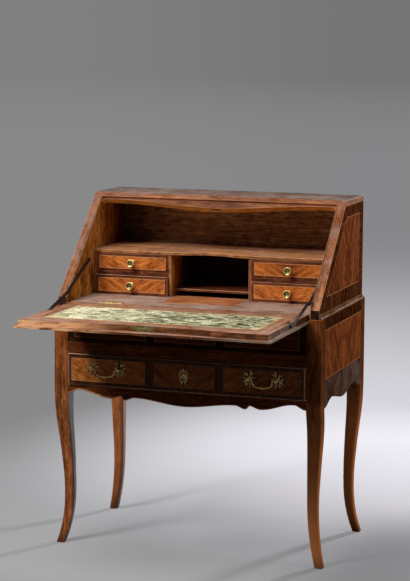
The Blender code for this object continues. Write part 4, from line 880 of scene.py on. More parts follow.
def flap_look():
    """Flap: lined border round the leather, quartered outer face, and a front edge worn and painted lighter
    on the left, stained and painted darker to the right, with a painted grey sheen on the lip.
    """
    look = Look("flap_veneer")
    finish, sizes = look.finish, look.sizes
    net, x, y, z = look.net, look.x, look.y, look.z
    side = look.grain("border", y, x, z, shift=21.0)
    long = look.grain("border", x, y, z, shift=22.0)
    border = net.mix(net.ramp(abs(x) - LEATHER_HIGH.x, -0.0004, 0.0004), long, side)
    border = look.haze(border, 0.4)
    rim_low = (FLAP_LOW.x + FLAP_RIM, FLAP_LOW.y + FLAP_RIM)
    rim = look.panel(x, y, rim_low, (FLAP_HIGH.x - FLAP_RIM, FLAP_HIGH.y))
    line = 1.0 - net.ramp(abs(rim - sizes.flap_line), 0.0005, 0.0016)
    border = net.mix(line * 0.75, border, LINE_DARK)
    inset = Vector((BROAD_BAND, BROAD_BAND, 0.0))
    outer_depth = look.panel(x, y, FLAP_LOW + inset, FLAP_HIGH - inset)
    up = abs(y - (FLAP_LOW.y + FLAP_HIGH.y) / 2)
    outer = look.slanted("field", abs(x), up, z, lean=0.7, shift=23.0)
    outer = look.inlay(outer_depth, outer, look.grain("band", y, x, z, shift=24.0))
    shown = net.mix(net.ramp(-look.nz, 0.4, 0.7), border, outer)
    rim_wood = look.grain("stile", x + y * 0.3, z, y, stripe=1.2, shift=25.0)
    dapple = net.noise(net.stretch(net.coordinates(), 16.0, 16.0, 90.0), detail=4.0, roughness=0.65)
    left = 1.0 - net.ramp(x, -0.2, -0.03)
    # Paler on the left, partly wear and partly painted light
    rim_wood = net.mix(left * net.ramp(dapple, 0.36, 0.52) * 0.95, rim_wood, LIP_WORN_AND_LIT)
    # Darker to the right, partly stains and partly painted shade
    rim_wood = net.mix((1.0 - left) * net.ramp(dapple, 0.25, 0.6) * 0.75, rim_wood, finish.band_deep)
    # Painted grey sheen on the right part of the lip's lower edge
    lip = net.ramp(-z, -FLAP_LOW.z - 0.0066, -FLAP_LOW.z - 0.0058) * net.ramp(x, 0.15, 0.32)
    rim_wood = net.mix(lip * net.ramp(dapple, 0.3, 0.5) * 0.8, rim_wood, LIP_GREY_SHEEN)
    edge = net.ramp(abs(look.nx) + abs(look.ny), 0.6, 0.85)
    shown = net.mix(edge, shown, rim_wood)
    return look.close(shown, rub=1.2, rough=0.5)


def top_look():
    """Top board: dark quartered veneer under greyed polish and a painted grey reflection, rubbed along its
    edges.
    """
    look = Look("top_veneer")
    finish = look.finish
    net, x, y, z = look.net, look.x, look.y, look.z
    inset = Vector((BROAD_BAND, BROAD_BAND, 0.0))
    depth = look.panel(x, y, TOP_LOW + inset, TOP_HIGH - inset)
    field = look.chevron("field", x, y, z, 0.0, lean=0.9, shift=26.0)
    band = look.grain("band", y, x, z, shift=27.0)
    shown = look.inlay(depth, field, band)
    shown = net.mix(0.6, shown, finish.band_deep)
    # On the top the grey blotches also stand for a painted grey reflection
    shown = look.haze(shown, 0.4)
    edge = look.grain("leg", x + y, z, y, shift=28.0)
    shown = net.mix(net.ramp(look.nz, 0.6, 0.85), edge, shown)
    polish = net.ramp(look.nz, 0.8, 0.95) * 0.35
    return look.close(shown, rub=0.5, rough=0.5, coat=polish, dull=0.2, shine=0.08)


def plain_look(name, kind, along="x", haze=0.0, shift=0.0, rough=0.5, rub=0.8, tone=0.0, shine=0.12):
    """Plain wood with its grain along one axis."""
    look = Look(name)
    finish = look.finish
    net = look.net
    axes = {"x": look.x, "y": look.y, "z": look.z}
    first = axes.pop(along)
    shown = look.grain(kind, first, *axes.values(), shift=shift)
    if tone:
        shown = net.mix(tone, shown, finish.band_deep)
    if haze:
        shown = net.mix(net.ramp(look.nz, 0.6, 0.85), shown, look.haze(shown, haze))
    return look.close(shown, rub=rub, rough=rough, shine=shine)


def header_look():
    """Header: brown front, golden underside."""
    look = Look("header_veneer")
    finish = look.finish
    net = look.net
    front = net.mix(0.35, look.grain("stile", look.x, look.z, look.y, shift=30.0), finish.band_deep)
    under = net.mix(0.3, look.grain("inside", look.x, look.y, look.z, shift=36.0), finish.inside_pale)
    shown = net.mix(net.ramp(-look.nz, 0.1, 0.45), front, under)
    return look.close(shown, rub=0.9)


def upright_look():
    """Uprights beside the niche: worn front edges, and faces with painted shade that deepens inwards."""
    look = Look("upright_wood")
    net = look.net
    shown = look.grain("inside", look.z, look.y, look.x, shift=43.0)
    # Painted shade deepening into the niche
    shown = net.mix(net.ramp(look.y, SHELF_LOW.y + 0.03, SHELF_LOW.y + 0.12) * 0.95, shown, PAINTED_SHADE)
    front = look.grain("stile", look.z, look.x, look.y, shift=45.0)
    shown = net.mix(net.ramp(-look.ny, 0.5, 0.8), shown, front)
    return look.close(shown, rub=1.1)


def back_look():
    """Back boards, with painted shade towards the corners and below the shelf."""
    look = Look("back_wood")
    finish = look.finish
    net, x = look.net, look.x
    outer = net.mix(0.55, look.grain("back", x, look.z, look.y, shift=37.0), finish.oak_deep)
    shown = look.grain("back", x, look.z, look.y, shift=32.0)
    # Painted shade towards the side corners and below the shelf
    corner_shade = net.most(1.0 - net.ramp(x, -0.34, -0.14), net.ramp(x, 0.26, 0.34) * 0.6)
    below = 1.0 - net.ramp(look.z, SHELF_LOW.z, SHELF_HIGH.z)
    within = net.ramp(-look.ny, 0.5, 0.8)
    shown = net.mix(net.most(corner_shade * 0.75, below * 0.9) * within, shown, PAINTED_SHADE)
    shown = net.mix(within, outer, shown)
    return look.close(shown, rub=0.3, rough=0.65)


def leather_look():
    """Cream leather, marbled grey-green and streaked dark by use, rubbed brown at its rim, with painted shade
    towards the right.
    """
    look = Look("writing_leather_skin")
    finish = look.finish
    net, x, y, z = look.net, look.x, look.y, look.z
    place = net.vector(x, y, z)
    cloud = net.noise(net.stretch(place, 26.0, 30.0, 1.0), detail=5.0, roughness=0.7, distortion=0.8)
    # Painted shade: greener and darker towards the right
    lean = net.ramp(x, -0.3, 0.1) * 0.1
    shown = net.mix(net.ramp(cloud + lean, 0.4, 0.64), finish.leather_pale, finish.leather_green)
    streak = net.noise(net.stretch(place, 30.0, 70.0, 1.0), detail=6.0, roughness=0.75, distortion=0.8)
    dark = net.ramp(streak * 0.75 + cloud * 0.25 + lean * 0.4, 0.49, 0.6)
    shown = net.mix(dark, shown, finish.leather_dark)
    speck = net.noise(place, scale=330.0, detail=3.0, roughness=0.7)
    shown = net.mix(net.ramp(speck, 0.5, 0.64) * 0.55, shown, finish.leather_dark)
    depth = look.panel(x, y, LEATHER_LOW, LEATHER_HIGH)
    rough_rim = net.noise(place, scale=42.0, detail=5.0, roughness=0.75)
    worn_rim = depth + (rough_rim - 0.5) * 0.06
    rim = 1.0 - net.ramp(worn_rim, 0.002, 0.022)
    shown = net.mix(rim * 0.8, shown, finish.leather_edge)
    torn = (1.0 - net.ramp(worn_rim, -0.004, 0.006)) * net.ramp(x, -0.1, 0.25)
    shown = net.mix(torn * 0.8, shown, finish.border_deep)
    grain = net.add("ShaderNodeTexVoronoi", feature="DISTANCE_TO_EDGE")
    net.feed(grain.inputs["Vector"], place)
    net.feed(grain.inputs["Scale"], 620.0)
    creases = net.ramp(Wire(net, grain.outputs["Distance"]), 0.0, 0.18)
    return look.close(shown, rough=0.62, bump=0.4, relief=creases * 0.6 + speck * 0.5)


def metal_look(name, kind, rough=0.34, dish=None, metallic=1.0):
    """Aged metal: rubbed on what stands proud, tarnished elsewhere."""
    look = Look(name)
    net = look.net
    place = net.coordinates()
    cloud = net.noise(place, scale=140.0, detail=4.0, roughness=0.65)
    fine = net.noise(place, scale=900.0, detail=2.0)
    worn = net.ramp(cloud * 0.7 + fine * 0.3 + net.attribute("wear") * 0.3, 0.4, 0.62)
    shown = net.mix(worn, getattr(look.finish, kind + "_deep"), getattr(look.finish, kind + "_pale"))
    if dish is not None:
        shown = net.mix(net.attribute("recess") * 0.9, shown, dish)
    shader = net.add("ShaderNodeBsdfPrincipled")
    net.feed(shader.inputs["Base Color"], shown)
    net.feed(shader.inputs["Roughness"], net.ramp(cloud, 0.3, 0.7) * -0.12 + (rough + 0.1))
    shader.inputs["Metallic"].default_value = metallic
    net.bump(shader, cloud * 0.6 + fine * 0.4, 0.2, METAL_BUMP)
    net.show(shader)
    return look.material


def only(piece):
    """Makes one piece the selected and active one."""
    bpy.ops.object.select_all(action="DESELECT")
    piece.select_set(True)
    bpy.context.view_layer.objects.active = piece


@contextmanager
def editing(piece, action="SELECT"):
    """Opens one piece for editing, with all of it selected or nothing."""
    only(piece)
    bpy.ops.object.mode_set(mode="EDIT")
    bpy.ops.mesh.select_all(action=action)
    yield
    bpy.ops.object.mode_set(mode="OBJECT")


def primitive(name, kind, **fields):
    """Adds one of Blender's own shapes."""
    bpy.ops.object.select_all(action="DESELECT")
    getattr(bpy.ops.mesh, f"primitive_{kind}_add")(**fields)
    piece = bpy.context.object
    piece.name = name
    return piece


def body_of(node):
    """The body that carries a frame node."""
    return frame["nodes"][node]["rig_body"]


def copy_of(node):
    """Starts a piece from a frame node's shape, its loose triangles merged into whole faces."""
    piece = bpy.data.objects.new(node + "_dressed", frame["nodes"][node].data.copy())
    bpy.context.scene.collection.objects.link(piece)
    piece.data.materials.clear()
    only(piece)
    bpy.ops.mesh.customdata_custom_splitnormals_clear()
    with editing(piece):
        bpy.ops.mesh.remove_doubles(threshold=MERGE)
        bpy.ops.mesh.dissolve_limited(angle_limit=FLAT_ANGLE)
    return piece


def apply(piece, kind, **fields):
    """Adds one modifier with the given settings and applies it."""
    only(piece)
    modifier = piece.modifiers.new(kind.lower(), kind)
    for key, value in fields.items():
        setattr(modifier, key, value)
    bpy.ops.object.modifier_apply(modifier=modifier.name)


def note_wear(mesh):
    """Keeps which points lie on a rounded arris, and drops the slot that marked them."""
    rounded = [0] * len(mesh.vertices)
    total = [0] * len(mesh.vertices)
    for face in mesh.polygons:
        for corner in face.vertices:
            total[corner] += 1
            rounded[corner] += face.material_index
    layer = mesh.attributes.new("wear", "FLOAT", "POINT")
    layer.data.foreach_set("value", [float(r == t and t > 0) for r, t in zip(rounded, total)])
    mesh.polygons.foreach_set("material_index", [0] * len(mesh.polygons))


def neighbours(node):
    """All other frame nodes as one search tree."""
    points, faces = [], []
    for name, other in frame["nodes"].items():
        if name != node:
            start = len(points)
            points += [v.co.copy() for v in other.data.vertices]
            faces += [[start + i for i in f.vertices] for f in other.data.polygons]
    return BVHTree.FromPolygons(points, faces)


def stands_free(edge, tree):
    """True where no other board lies against either face beside the edge."""
    met = 0
    for share in (0.2, 0.5, 0.8):
        place = edge.verts[0].co.lerp(edge.verts[1].co, share)
        for loop in edge.link_loops:
            normal = loop.face.normal
            start = place + edge.calc_tangent(loop) * 0.0015 + normal * 0.00005
            met += tree.ray_cast(start, normal, JOINT_GAP)[0] is not None
    return met < 2


def weigh_edges(mesh, tree):
    """Gives free arrises a whole rounding and the arrises of a joint a slight one."""
    work = bmesh.new()
    work.from_mesh(mesh)
    weight = work.edges.layers.float.new("bevel_weight_edge")
    work.normal_update()
    for edge in work.edges:
        if len(edge.link_faces) == 2 and edge.is_convex and edge.calc_face_angle() > ARRIS_ANGLE:
            edge[weight] = 1.0 if stands_free(edge, tree) else JOINT_SHARE
    work.to_mesh(mesh)
    work.free()


def round_arrises(piece, node, width):
    """Rounds the sharp edges and marks them as worn."""
    piece.data.materials.append(None)
    piece.data.materials.append(None)
    weigh_edges(piece.data, neighbours(node))
    apply(
        piece, "BEVEL", width=width, segments=3, limit_method="WEIGHT", material=1, profile=0.6,
        use_clamp_overlap=True,
    )
    note_wear(piece.data)
    piece.data.materials.clear()
    smooth(piece)


def smooth(piece):
    """Shades the curves smooth and keeps flat faces flat."""
    only(piece)
    bpy.ops.object.shade_smooth_by_angle(angle=SMOOTH_ANGLE)
    apply(piece, "WEIGHTED_NORMAL", mode="FACE_AREA", weight=50, keep_sharp=True)


def carry(piece, body, material):
    """Gives a piece its finish and the body it moves with."""
    piece.data.materials.clear()
    piece.data.materials.append(material)
    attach(piece, body)
    return piece


def stand_in(piece, node, material):
    """Puts a piece in a frame node's place with its finish."""
    piece.name = node + "_dressed"
    carry(piece, body_of(node), material)
    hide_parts(node)
    return piece


def dress(nodes, material, width):
    """Copies frame nodes with rounded arrises and gives them a finish."""
    for node in nodes:
        piece = copy_of(node)
        round_arrises(piece, node, width)
        stand_in(piece, node, material)


def settle(piece, matrix):
    """Lays a piece in place and keeps the place in its mesh."""
    piece.matrix_world = matrix
    only(piece)
    bpy.ops.object.transform_apply(location=True, rotation=True, scale=True)
    with editing(piece):
        bpy.ops.mesh.normals_make_consistent(inside=False)
    return piece


def twin(piece, matrix):
    """A copy with a mesh of its own, laid in place."""
    other = piece.copy()
    other.data = piece.data.copy()
    bpy.context.scene.collection.objects.link(other)
    return settle(other, matrix)


def join(name, pieces):
    """Joins pieces into the first one."""
    only(pieces[0])
    for piece in pieces:
        piece.select_set(True)
    bpy.ops.object.join()
    pieces[0].name = name
    return pieces[0]


def drop(piece):
    """Removes a pattern that has been copied or used up."""
    bpy.data.objects.remove(piece, do_unlink=True)


def cut(piece, tool):
    """Cuts a tool's shape out of a piece."""
    apply(piece, "BOOLEAN", operation="DIFFERENCE", object=tool, solver="EXACT")
    drop(tool)


def flow(knots, steps=5):
    """A smooth line through the knots."""
    knots = [Vector(k) for k in knots]
    ends = [knots[0], *knots, knots[-1]]
    line = []
    for a, b, c, d in zip(ends, ends[1:], ends[2:], ends[3:]):
        for step in range(steps):
            t = step / steps
            square = (2 * a - 5 * b + 4 * c - d) * t * t
            cube = (3 * b - a - 3 * c + d) * t**3
            line.append(0.5 * (2 * b + (c - a) * t + square + cube))
    return [*line, knots[-1]]


def turned(name, profile, sides=32, steps=1):
    """A turned piece standing on the level: each pair is a radius and a height in millimetres."""
    rings = [(r * MILLI, h * MILLI) for r, h in flow(profile, steps)]
    piece = primitive(name, "circle", vertices=sides, radius=rings[0][0], fill_type="NGON")
    bpy.ops.object.mode_set(mode="EDIT")
    for (wide, low), (narrow, high) in zip(rings, rings[1:]):
        bpy.ops.mesh.extrude_region_move(TRANSFORM_OT_translate={"value": (0.0, 0.0, high - low)})
        bpy.ops.transform.resize(value=(narrow / wide, narrow / wide, 1.0))
    bpy.ops.object.mode_set(mode="OBJECT")
    return settle(piece, Matrix())


def bar(name, knots, steps=5, sides=5):
    """A round bar along a line: each knot is a place and a radius in millimetres."""
    line = bpy.data.curves.new(name, "CURVE")
    line.dimensions = "3D"
    line.bevel_depth = MILLI
    line.bevel_resolution = sides
    line.use_fill_caps = True
    places = flow(knots, steps)
    spline = line.splines.new("POLY")
    spline.points.add(len(places) - 1)
    for point, place in zip(spline.points, places):
        point.co = (place[0] * MILLI, place[1] * MILLI, place[2] * MILLI, 1.0)
        point.radius = place[3]
    piece = bpy.data.objects.new(name, line)
    bpy.context.scene.collection.objects.link(piece)
    only(piece)
    bpy.ops.object.convert(target="MESH")
    return settle(bpy.context.object, Matrix())


def block(name, low, high, width):
    """A small plate with rounded arrises, from corner to corner."""
    piece = primitive(name, "cube", size=1.0)
    middle, size = (Vector(low) + Vector(high)) / 2, Vector(high) - Vector(low)
    settle(piece, Matrix.Translation(middle) @ Matrix.Diagonal((*size, 1.0)))
    apply(piece, "BEVEL", width=width, segments=3, limit_method="ANGLE")
    return piece


def leaf_pattern():
    """A lobed leaf one metre long and wide, its tip along y, its ribs raised along z."""
    piece = primitive("leaf_pattern", "grid", x_subdivisions=12, y_subdivisions=20, size=1.0)
    for point in piece.data.vertices:
        side, along = point.co.x * 2, point.co.y + 0.5
        outline = 0.16 + 0.84 * math.sin(math.pi * along**0.75) ** 0.8
        half = 0.5 * outline * (0.8 + 0.2 * math.cos(6 * math.pi * along))
        rib = 0.08 * math.exp(-((side / 0.22) ** 2))
        arch = 0.16 * math.sin(math.pi * along * 0.8) + 0.1 * along**3 - 0.1 * side * side
        point.co = (side * half, along, arch + rib)
    return piece


def leaf(pattern, x, y, turn, long, wide, lift):
    """One leaf of a casting, in millimetres and degrees, thickened downwards."""
    angle = math.radians(turn - 90)
    place = Matrix.Translation((x * MILLI, y * MILLI, lift * MILLI)) @ Matrix.Rotation(angle, 4, "Z")
    piece = twin(pattern, place @ Matrix.Diagonal((wide * MILLI, long * MILLI, long * MILLI * 0.8, 1.0)))
    if piece.data.polygons[0].normal.z < 0:
        piece.data.flip_normals()
    apply(piece, "SOLIDIFY", thickness=LEAF_THICK, offset=-1.0)
    return piece


def cast(piece):
    """Fuses joined pieces into one smooth casting."""
    apply(piece, "REMESH", mode="VOXEL", voxel_size=CAST_GRAIN)
    apply(piece, "SMOOTH", factor=0.5, iterations=3)
    return piece


def note_proud(piece, base, reach):
    """Marks how far each point stands out of the drawer's face, for the rubbed tips."""
    layer = piece.data.attributes.new("wear", "FLOAT", "POINT")
    shares = [min(max((base - point.co.y) / reach, 0.0), 1.0) for point in piece.data.vertices]
    layer.data.foreach_set("value", shares)


def rounded(piece):
    """Shades a turned or cast piece smooth all over but its sharp rims."""
    only(piece)
    bpy.ops.object.shade_smooth_by_angle(angle=math.radians(50))
    return piece


def outward(x, y, z, mirror=1.0):
    """Lays a piece modelled on the level against an upright front face."""
    return Matrix(((mirror, 0, 0, x), (0, 0, -1, y), (0, 1, 0, z), (0, 0, 0, 1)))


def screw_pattern():
    """A slotted screw head."""
    head = turned("screw_pattern", SCREW_PROFILE, sides=20)
    reach = SCREW_PROFILE[0][0] * MILLI
    slot = block("screw_slot", (-0.0003, -2 * reach, 0.0003), (0.0003, 2 * reach, 0.01), CUTTER_ARRIS)
    cut(head, slot)
    return head


def sprig_pattern():
    """A leafy handle plate: crossed stems, leaves and the ear that carries the bail."""
    pattern = leaf_pattern()
    parts = [leaf(pattern, *row) for row in SPRIG_LEAVES]
    parts += [bar("stem", line) for line in SPRIG_STEMS]
    parts.append(turned("ear", EAR_PROFILE, sides=24, steps=3))
    drop(pattern)
    sprig = cast(join("sprig_pattern", parts))
    eye = bar("eye", [(-20, 0, EAR_OUT, EAR_EYE), (20, 0, EAR_OUT, EAR_EYE)], steps=1)
    cut(sprig, eye)
    return sprig


def keyhole_plate():
    """An openwork plate of scrolls and leaves round a keyhole."""
    pattern = leaf_pattern()
    parts = [leaf(pattern, *row) for row in PLATE_LEAVES]
    parts += [leaf(pattern, -x, y, 180 - turn, *rest) for x, y, turn, *rest in PLATE_LEAVES if x]
    drop(pattern)
    for mirror in (1, -1):
        parts.append(bar("scroll", [(mirror * x, y, z, r) for x, y, z, r in PLATE_SCROLL]))
    disc = turned("disc", [(7.4, 0), (7.4, 0.7), (6.8, 1.3), (0.3, 1.5)])
    parts.append(settle(disc, Matrix.Diagonal((1.0, 1.25, 1.0, 1.0))))
    plate = cast(join("keyhole_plate", parts))
    cut(plate, turned("key_round", [(1.9, -4), (1.9, 12)]))
    cut(plate, block("key_slot", (-0.0009, -0.0062, -0.004), (0.0009, 0.0, 0.012), CUTTER_ARRIS))
    return plate


class DESK_OT_groups(bpy.types.Operator):
    """Builds the shared effects: grain, panels, inlay, rubbing, and greyed blotches with painted sheen."""

    bl_idname = "desk.groups"
    bl_label = "Shared effects"

    def execute(self, context):
        wood_grain_group()
        panel_depth_group()
        inlay_group()
        rubbing_group()
        haze_and_sheen_group()
        return {"FINISHED"}


def apron_bead():
    """A thin half-round bead along the apron's shaped edge."""
    low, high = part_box("front_apron")
    points = [v.co for v in frame["nodes"]["front_apron"].data.vertices]
    edge = {round(co.x, 5): co.z for co in points if co.y < low.y + MERGE and co.z < high.z - MERGE}
    places = [(x / MILLI, low.y / MILLI, z / MILLI + 1.6, 2.0) for x, z in sorted(edge.items())]
    return rounded(bar("apron_bead", places, steps=2, sides=3))


class DESK_OT_case(bpy.types.Operator):
    """Dresses the case: sides, top, header, back, frieze, apron and mouldings."""

    bl_idname = "desk.case"
    bl_label = "Case"

    def execute(self, context):
        sizes = context.scene.desk_sizes
        arris = sizes.arris
        dress([f"upper_side_{s}" for s in SIDES], upper_side_look(), arris)
        dress([f"lower_side_{s}" for s in SIDES], lower_side_look(), arris)
        dress(["frieze_rail", "front_apron"], front_look(), arris)
        bead = plain_look("bead_wood", "bead", shift=35.0, rub=1.2)
        carry(apron_bead(), "case", bead)
        dress(["top_board"], top_look(), arris)
        dress(["header_rail"], header_look(), arris)
        # The grey blotches on the waist mouldings are partly a painted grey reflection
        moulding = plain_look(
            "waist_wood", "oak", along="y", haze=0.7, shift=31.0, rough=0.7, tone=0.45, shine=SIDE_SHINE
        )
        dress([f"waist_moulding_{s}" for s in SIDES], moulding, arris * 0.6)
        dress(["upper_back"], back_look(), arris)
        oak = plain_look("carcase_oak", "oak", shift=33.0, rough=0.65, rub=0.4)
        dress(["lower_back", "well_floor"], oak, arris)
        runner = plain_look("runner_oak", "oak", along="y", shift=34.0, rough=0.65, rub=0.4)
        dress([f"drawer_runner_{s}" for s in SIDES], runner, arris)
        return {"FINISHED"}


class DESK_OT_legs(bpy.types.Operator):
    """Dresses the four cabriole legs with their posts."""

    bl_idname = "desk.legs"
    bl_label = "Legs"

    def execute(self, context):
        sizes = context.scene.desk_sizes
        look = leg_look()
        dress([f"{end}_leg_{s}" for end in ("front", "back") for s in SIDES], look, sizes.leg_arris)
        return {"FINISHED"}


class DESK_OT_interior(bpy.types.Operator):
    """Dresses the fitted interior: desk floor, well cover, shelf, uprights, rails and niche floor."""

    bl_idname = "desk.interior"
    bl_label = "Fitted interior"

    def execute(self, context):
        sizes = context.scene.desk_sizes
        arris = sizes.arris
        floor = plain_look("desk_floor_veneer", "floor", haze=0.6, shift=40.0, rub=1.2)
        dress(["desk_floor"], floor, arris)
        cover = plain_look("well_cover_wood", "drawer", haze=0.2, shift=41.0, tone=0.25)
        dress(["well_cover"], cover, arris)
        shelf = plain_look("shelf_wood", "shelf", haze=0.25, shift=42.0, rub=1.4)
        dress(["nest_shelf"], shelf, arris)
        upright = upright_look()
        boards = [f"nest_{kind}_{s}" for kind in ("divider", "cheek") for s in SIDES]
        dress(boards, upright, arris)
        rail = plain_look("rail_wood", "rim", shift=44.0, rub=1.2)
        dress(["niche_floor", *(f"nest_rail_{s}" for s in SIDES)], rail, arris)
        return {"FINISHED"}


class DESK_OT_small_drawers(bpy.types.Operator):
    """Dresses the four small drawers."""

    bl_idname = "desk.small_drawers"
    bl_label = "Small drawers"

    def execute(self, context):
        sizes = context.scene.desk_sizes
        for name in NESTS:
            dress([f"small_drawer_{name}"], small_drawer_look(name), sizes.arris)
        return {"FINISHED"}


class DESK_OT_long_drawer(bpy.types.Operator):
    """Dresses the long drawer's front, sides, bottom and back."""

    bl_idname = "desk.long_drawer"
    bl_label = "Long drawer"

    def execute(self, context):
        sizes = context.scene.desk_sizes
        dress(["long_drawer_front"], drawer_look(), sizes.drawer_arris)
        side = plain_look("drawer_side_oak", "oak", along="y", shift=50.0, rough=0.65)
        dress([f"long_drawer_side_{s}" for s in SIDES], side, sizes.arris)
        bottom = plain_look("drawer_bottom_oak", "oak", shift=51.0, rough=0.65)
        dress(["long_drawer_bottom", "long_drawer_back"], bottom, sizes.arris)
        return {"FINISHED"}


def wave_end(board):
    """Brings the flap's end forward beside its middle, as the header's wave leaves room for."""
    with editing(board, "DESELECT"):
        work = bmesh.from_edit_mesh(board.data)
        for edge in work.edges:
            ends = [v.co for v in edge.verts]
            at_end = all(abs(co.y - FLAP_END) < MERGE * 10 for co in ends)
            if at_end and abs(ends[0].x - ends[1].x) > WAVE_LONG:
                edge.select_set(True)
        bmesh.update_edit_mesh(board.data)
        bpy.ops.mesh.subdivide(number_cuts=WAVE_CUTS)
    for point in board.data.vertices:
        if abs(point.co.y - FLAP_END) < MERGE * 10:
            off = min(max(abs(point.co.x) - WAVE_FLAT, 0.0) / (WAVE_HALF - WAVE_FLAT), 1.0)
            point.co.y -= WAVE_DEPTH * (1.0 - math.cos(math.pi * off)) / 2


class DESK_OT_flap(bpy.types.Operator):
    """Dresses the flap and lays its writing leather."""

    bl_idname = "desk.flap"
    bl_label = "Flap and leather"

    def execute(self, context):
        sizes = context.scene.desk_sizes
        board = copy_of("flap_board")
        wave_end(board)
        round_arrises(board, "flap_board", sizes.arris)
        stand_in(board, "flap_board", flap_look())
        leather = copy_of("writing_leather")
        with editing(leather):
            bpy.ops.mesh.subdivide(number_cuts=LEATHER_CUTS)
        smooth(leather)
        stand_in(leather, "writing_leather", leather_look())
        return {"FINISHED"}


class DESK_OT_knobs(bpy.types.Operator):
    """Turns the four brass knobs with their dished, green-stained faces."""

    bl_idname = "desk.knobs"
    bl_label = "Knobs"

    def execute(self, context):
        finish = context.scene.desk_finish
        brass = metal_look("knob_brass", "brass", dish=finish.verdigris, metallic=0.75)
        pattern = turned("knob_pattern", KNOB_PROFILE, steps=4)
        marks = []
        for point in pattern.data.vertices:
            out_from = math.hypot(point.co.x, point.co.y)
            marks.append((float(out_from < KNOB_DISH and point.co.z > KNOB_NECK), float(out_from > KNOB_RIM)))
        for name, values in zip(("recess", "wear"), zip(*marks)):
            layer = pattern.data.attributes.new(name, "FLOAT", "POINT")
            layer.data.foreach_set("value", values)
        for name in NESTS:
            node = f"small_drawer_{name}_knob"
            low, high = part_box(node)
            place = outward((low.x + high.x) / 2, high.y, (low.z + high.z) / 2)
            stand_in(rounded(twin(pattern, place)), node, brass)
        drop(pattern)
        return {"FINISHED"}


class DESK_OT_handles(bpy.types.Operator):
    """Casts the leafy handle plates, the bails and the keyhole plate."""

    bl_idname = "desk.handles"
    bl_label = "Handles and keyhole plate"

    def execute(self, context):
        bronze = metal_look("handle_bronze", "bronze", rough=0.4)
        sprig = sprig_pattern()
        for side in SIDES:
            for end, mirror in (("a", -1.0), ("b", 1.0)):
                node = f"handle_rosette_{side}_{end}"
                low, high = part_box(node)
                place = outward((low.x + high.x) / 2, high.y, BAIL_AXIS, mirror)
                plate = twin(sprig, place @ Matrix.Diagonal((SPRIG_SCALE, SPRIG_SCALE, 1.0, 1.0)))
                note_proud(plate, high.y, SPRIG_REACH)
                stand_in(rounded(plate), node, bronze)
            node = f"handle_bail_{side}"
            low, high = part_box(node)
            half = [(x, z, 0.0, r) for x, z, r in BAIL_HALF]
            bail = bar(node, [*half, *((-x, z, y, r) for x, z, y, r in reversed(half[:-1]))])
            settle(bail, outward((low.x + high.x) / 2, (low.y + high.y) / 2, BAIL_AXIS))
            note_proud(bail, high.y, BAIL_REACH)
            stand_in(rounded(bail), node, bronze)
        drop(sprig)
        plate = keyhole_plate()
        settle(plate, outward(0.0, KEYHOLE_TOP.y, (KEYHOLE_LOW.z + KEYHOLE_TOP.z) / 2))
        note_proud(plate, KEYHOLE_TOP.y, BAIL_REACH)
        stand_in(rounded(plate), "escutcheon", bronze)
        return {"FINISHED"}


class DESK_OT_hinges(bpy.types.Operator):
    """Dresses the hinge leaves and the lock plate and drives their screws."""

    bl_idname = "desk.hinges"
    bl_label = "Hinges and lock plate"

    def execute(self, context):
        rubbed = metal_look("hinge_brass", "hinge", rough=0.5, metallic=0.7)
        # The right hinge is given a darker, duller brass than the left one
        dull = metal_look("hinge_brown", "brown", rough=0.6, metallic=0.3)
        hinge = {"left": rubbed, "right": dull}
        green = metal_look("lock_brass", "lock", rough=0.5, metallic=0.6)
        screw = screw_pattern()
        for side in SIDES:
            for part, line in (("desk", 0.6), ("flap", 0.35)):
                node = f"hinge_{part}_leaf_{side}"
                low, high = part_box(node)
                parts = [copy_of(node)]
                round_arrises(parts[0], node, METAL_ARRIS)
                for share in HINGE_SCREWS:
                    place = (low.x + (high.x - low.x) * share, low.y + (high.y - low.y) * line, FLAP_HIGH.z)
                    parts.append(twin(screw, Matrix.Translation(place) @ Matrix.Rotation(share * 5, 4, "Z")))
                stand_in(join(node, parts), node, hinge[side])
        low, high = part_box("flap_lock_plate")
        parts = [copy_of("flap_lock_plate")]
        round_arrises(parts[0], "flap_lock_plate", METAL_ARRIS)
        for x in (low.x + LOCK_SCREW_IN, high.x - LOCK_SCREW_IN):
            parts.append(twin(screw, outward(x, low.y, (low.z + high.z) / 2)))
        stand_in(join("flap_lock_plate", parts), "flap_lock_plate", green)
        drop(screw)
        return {"FINISHED"}


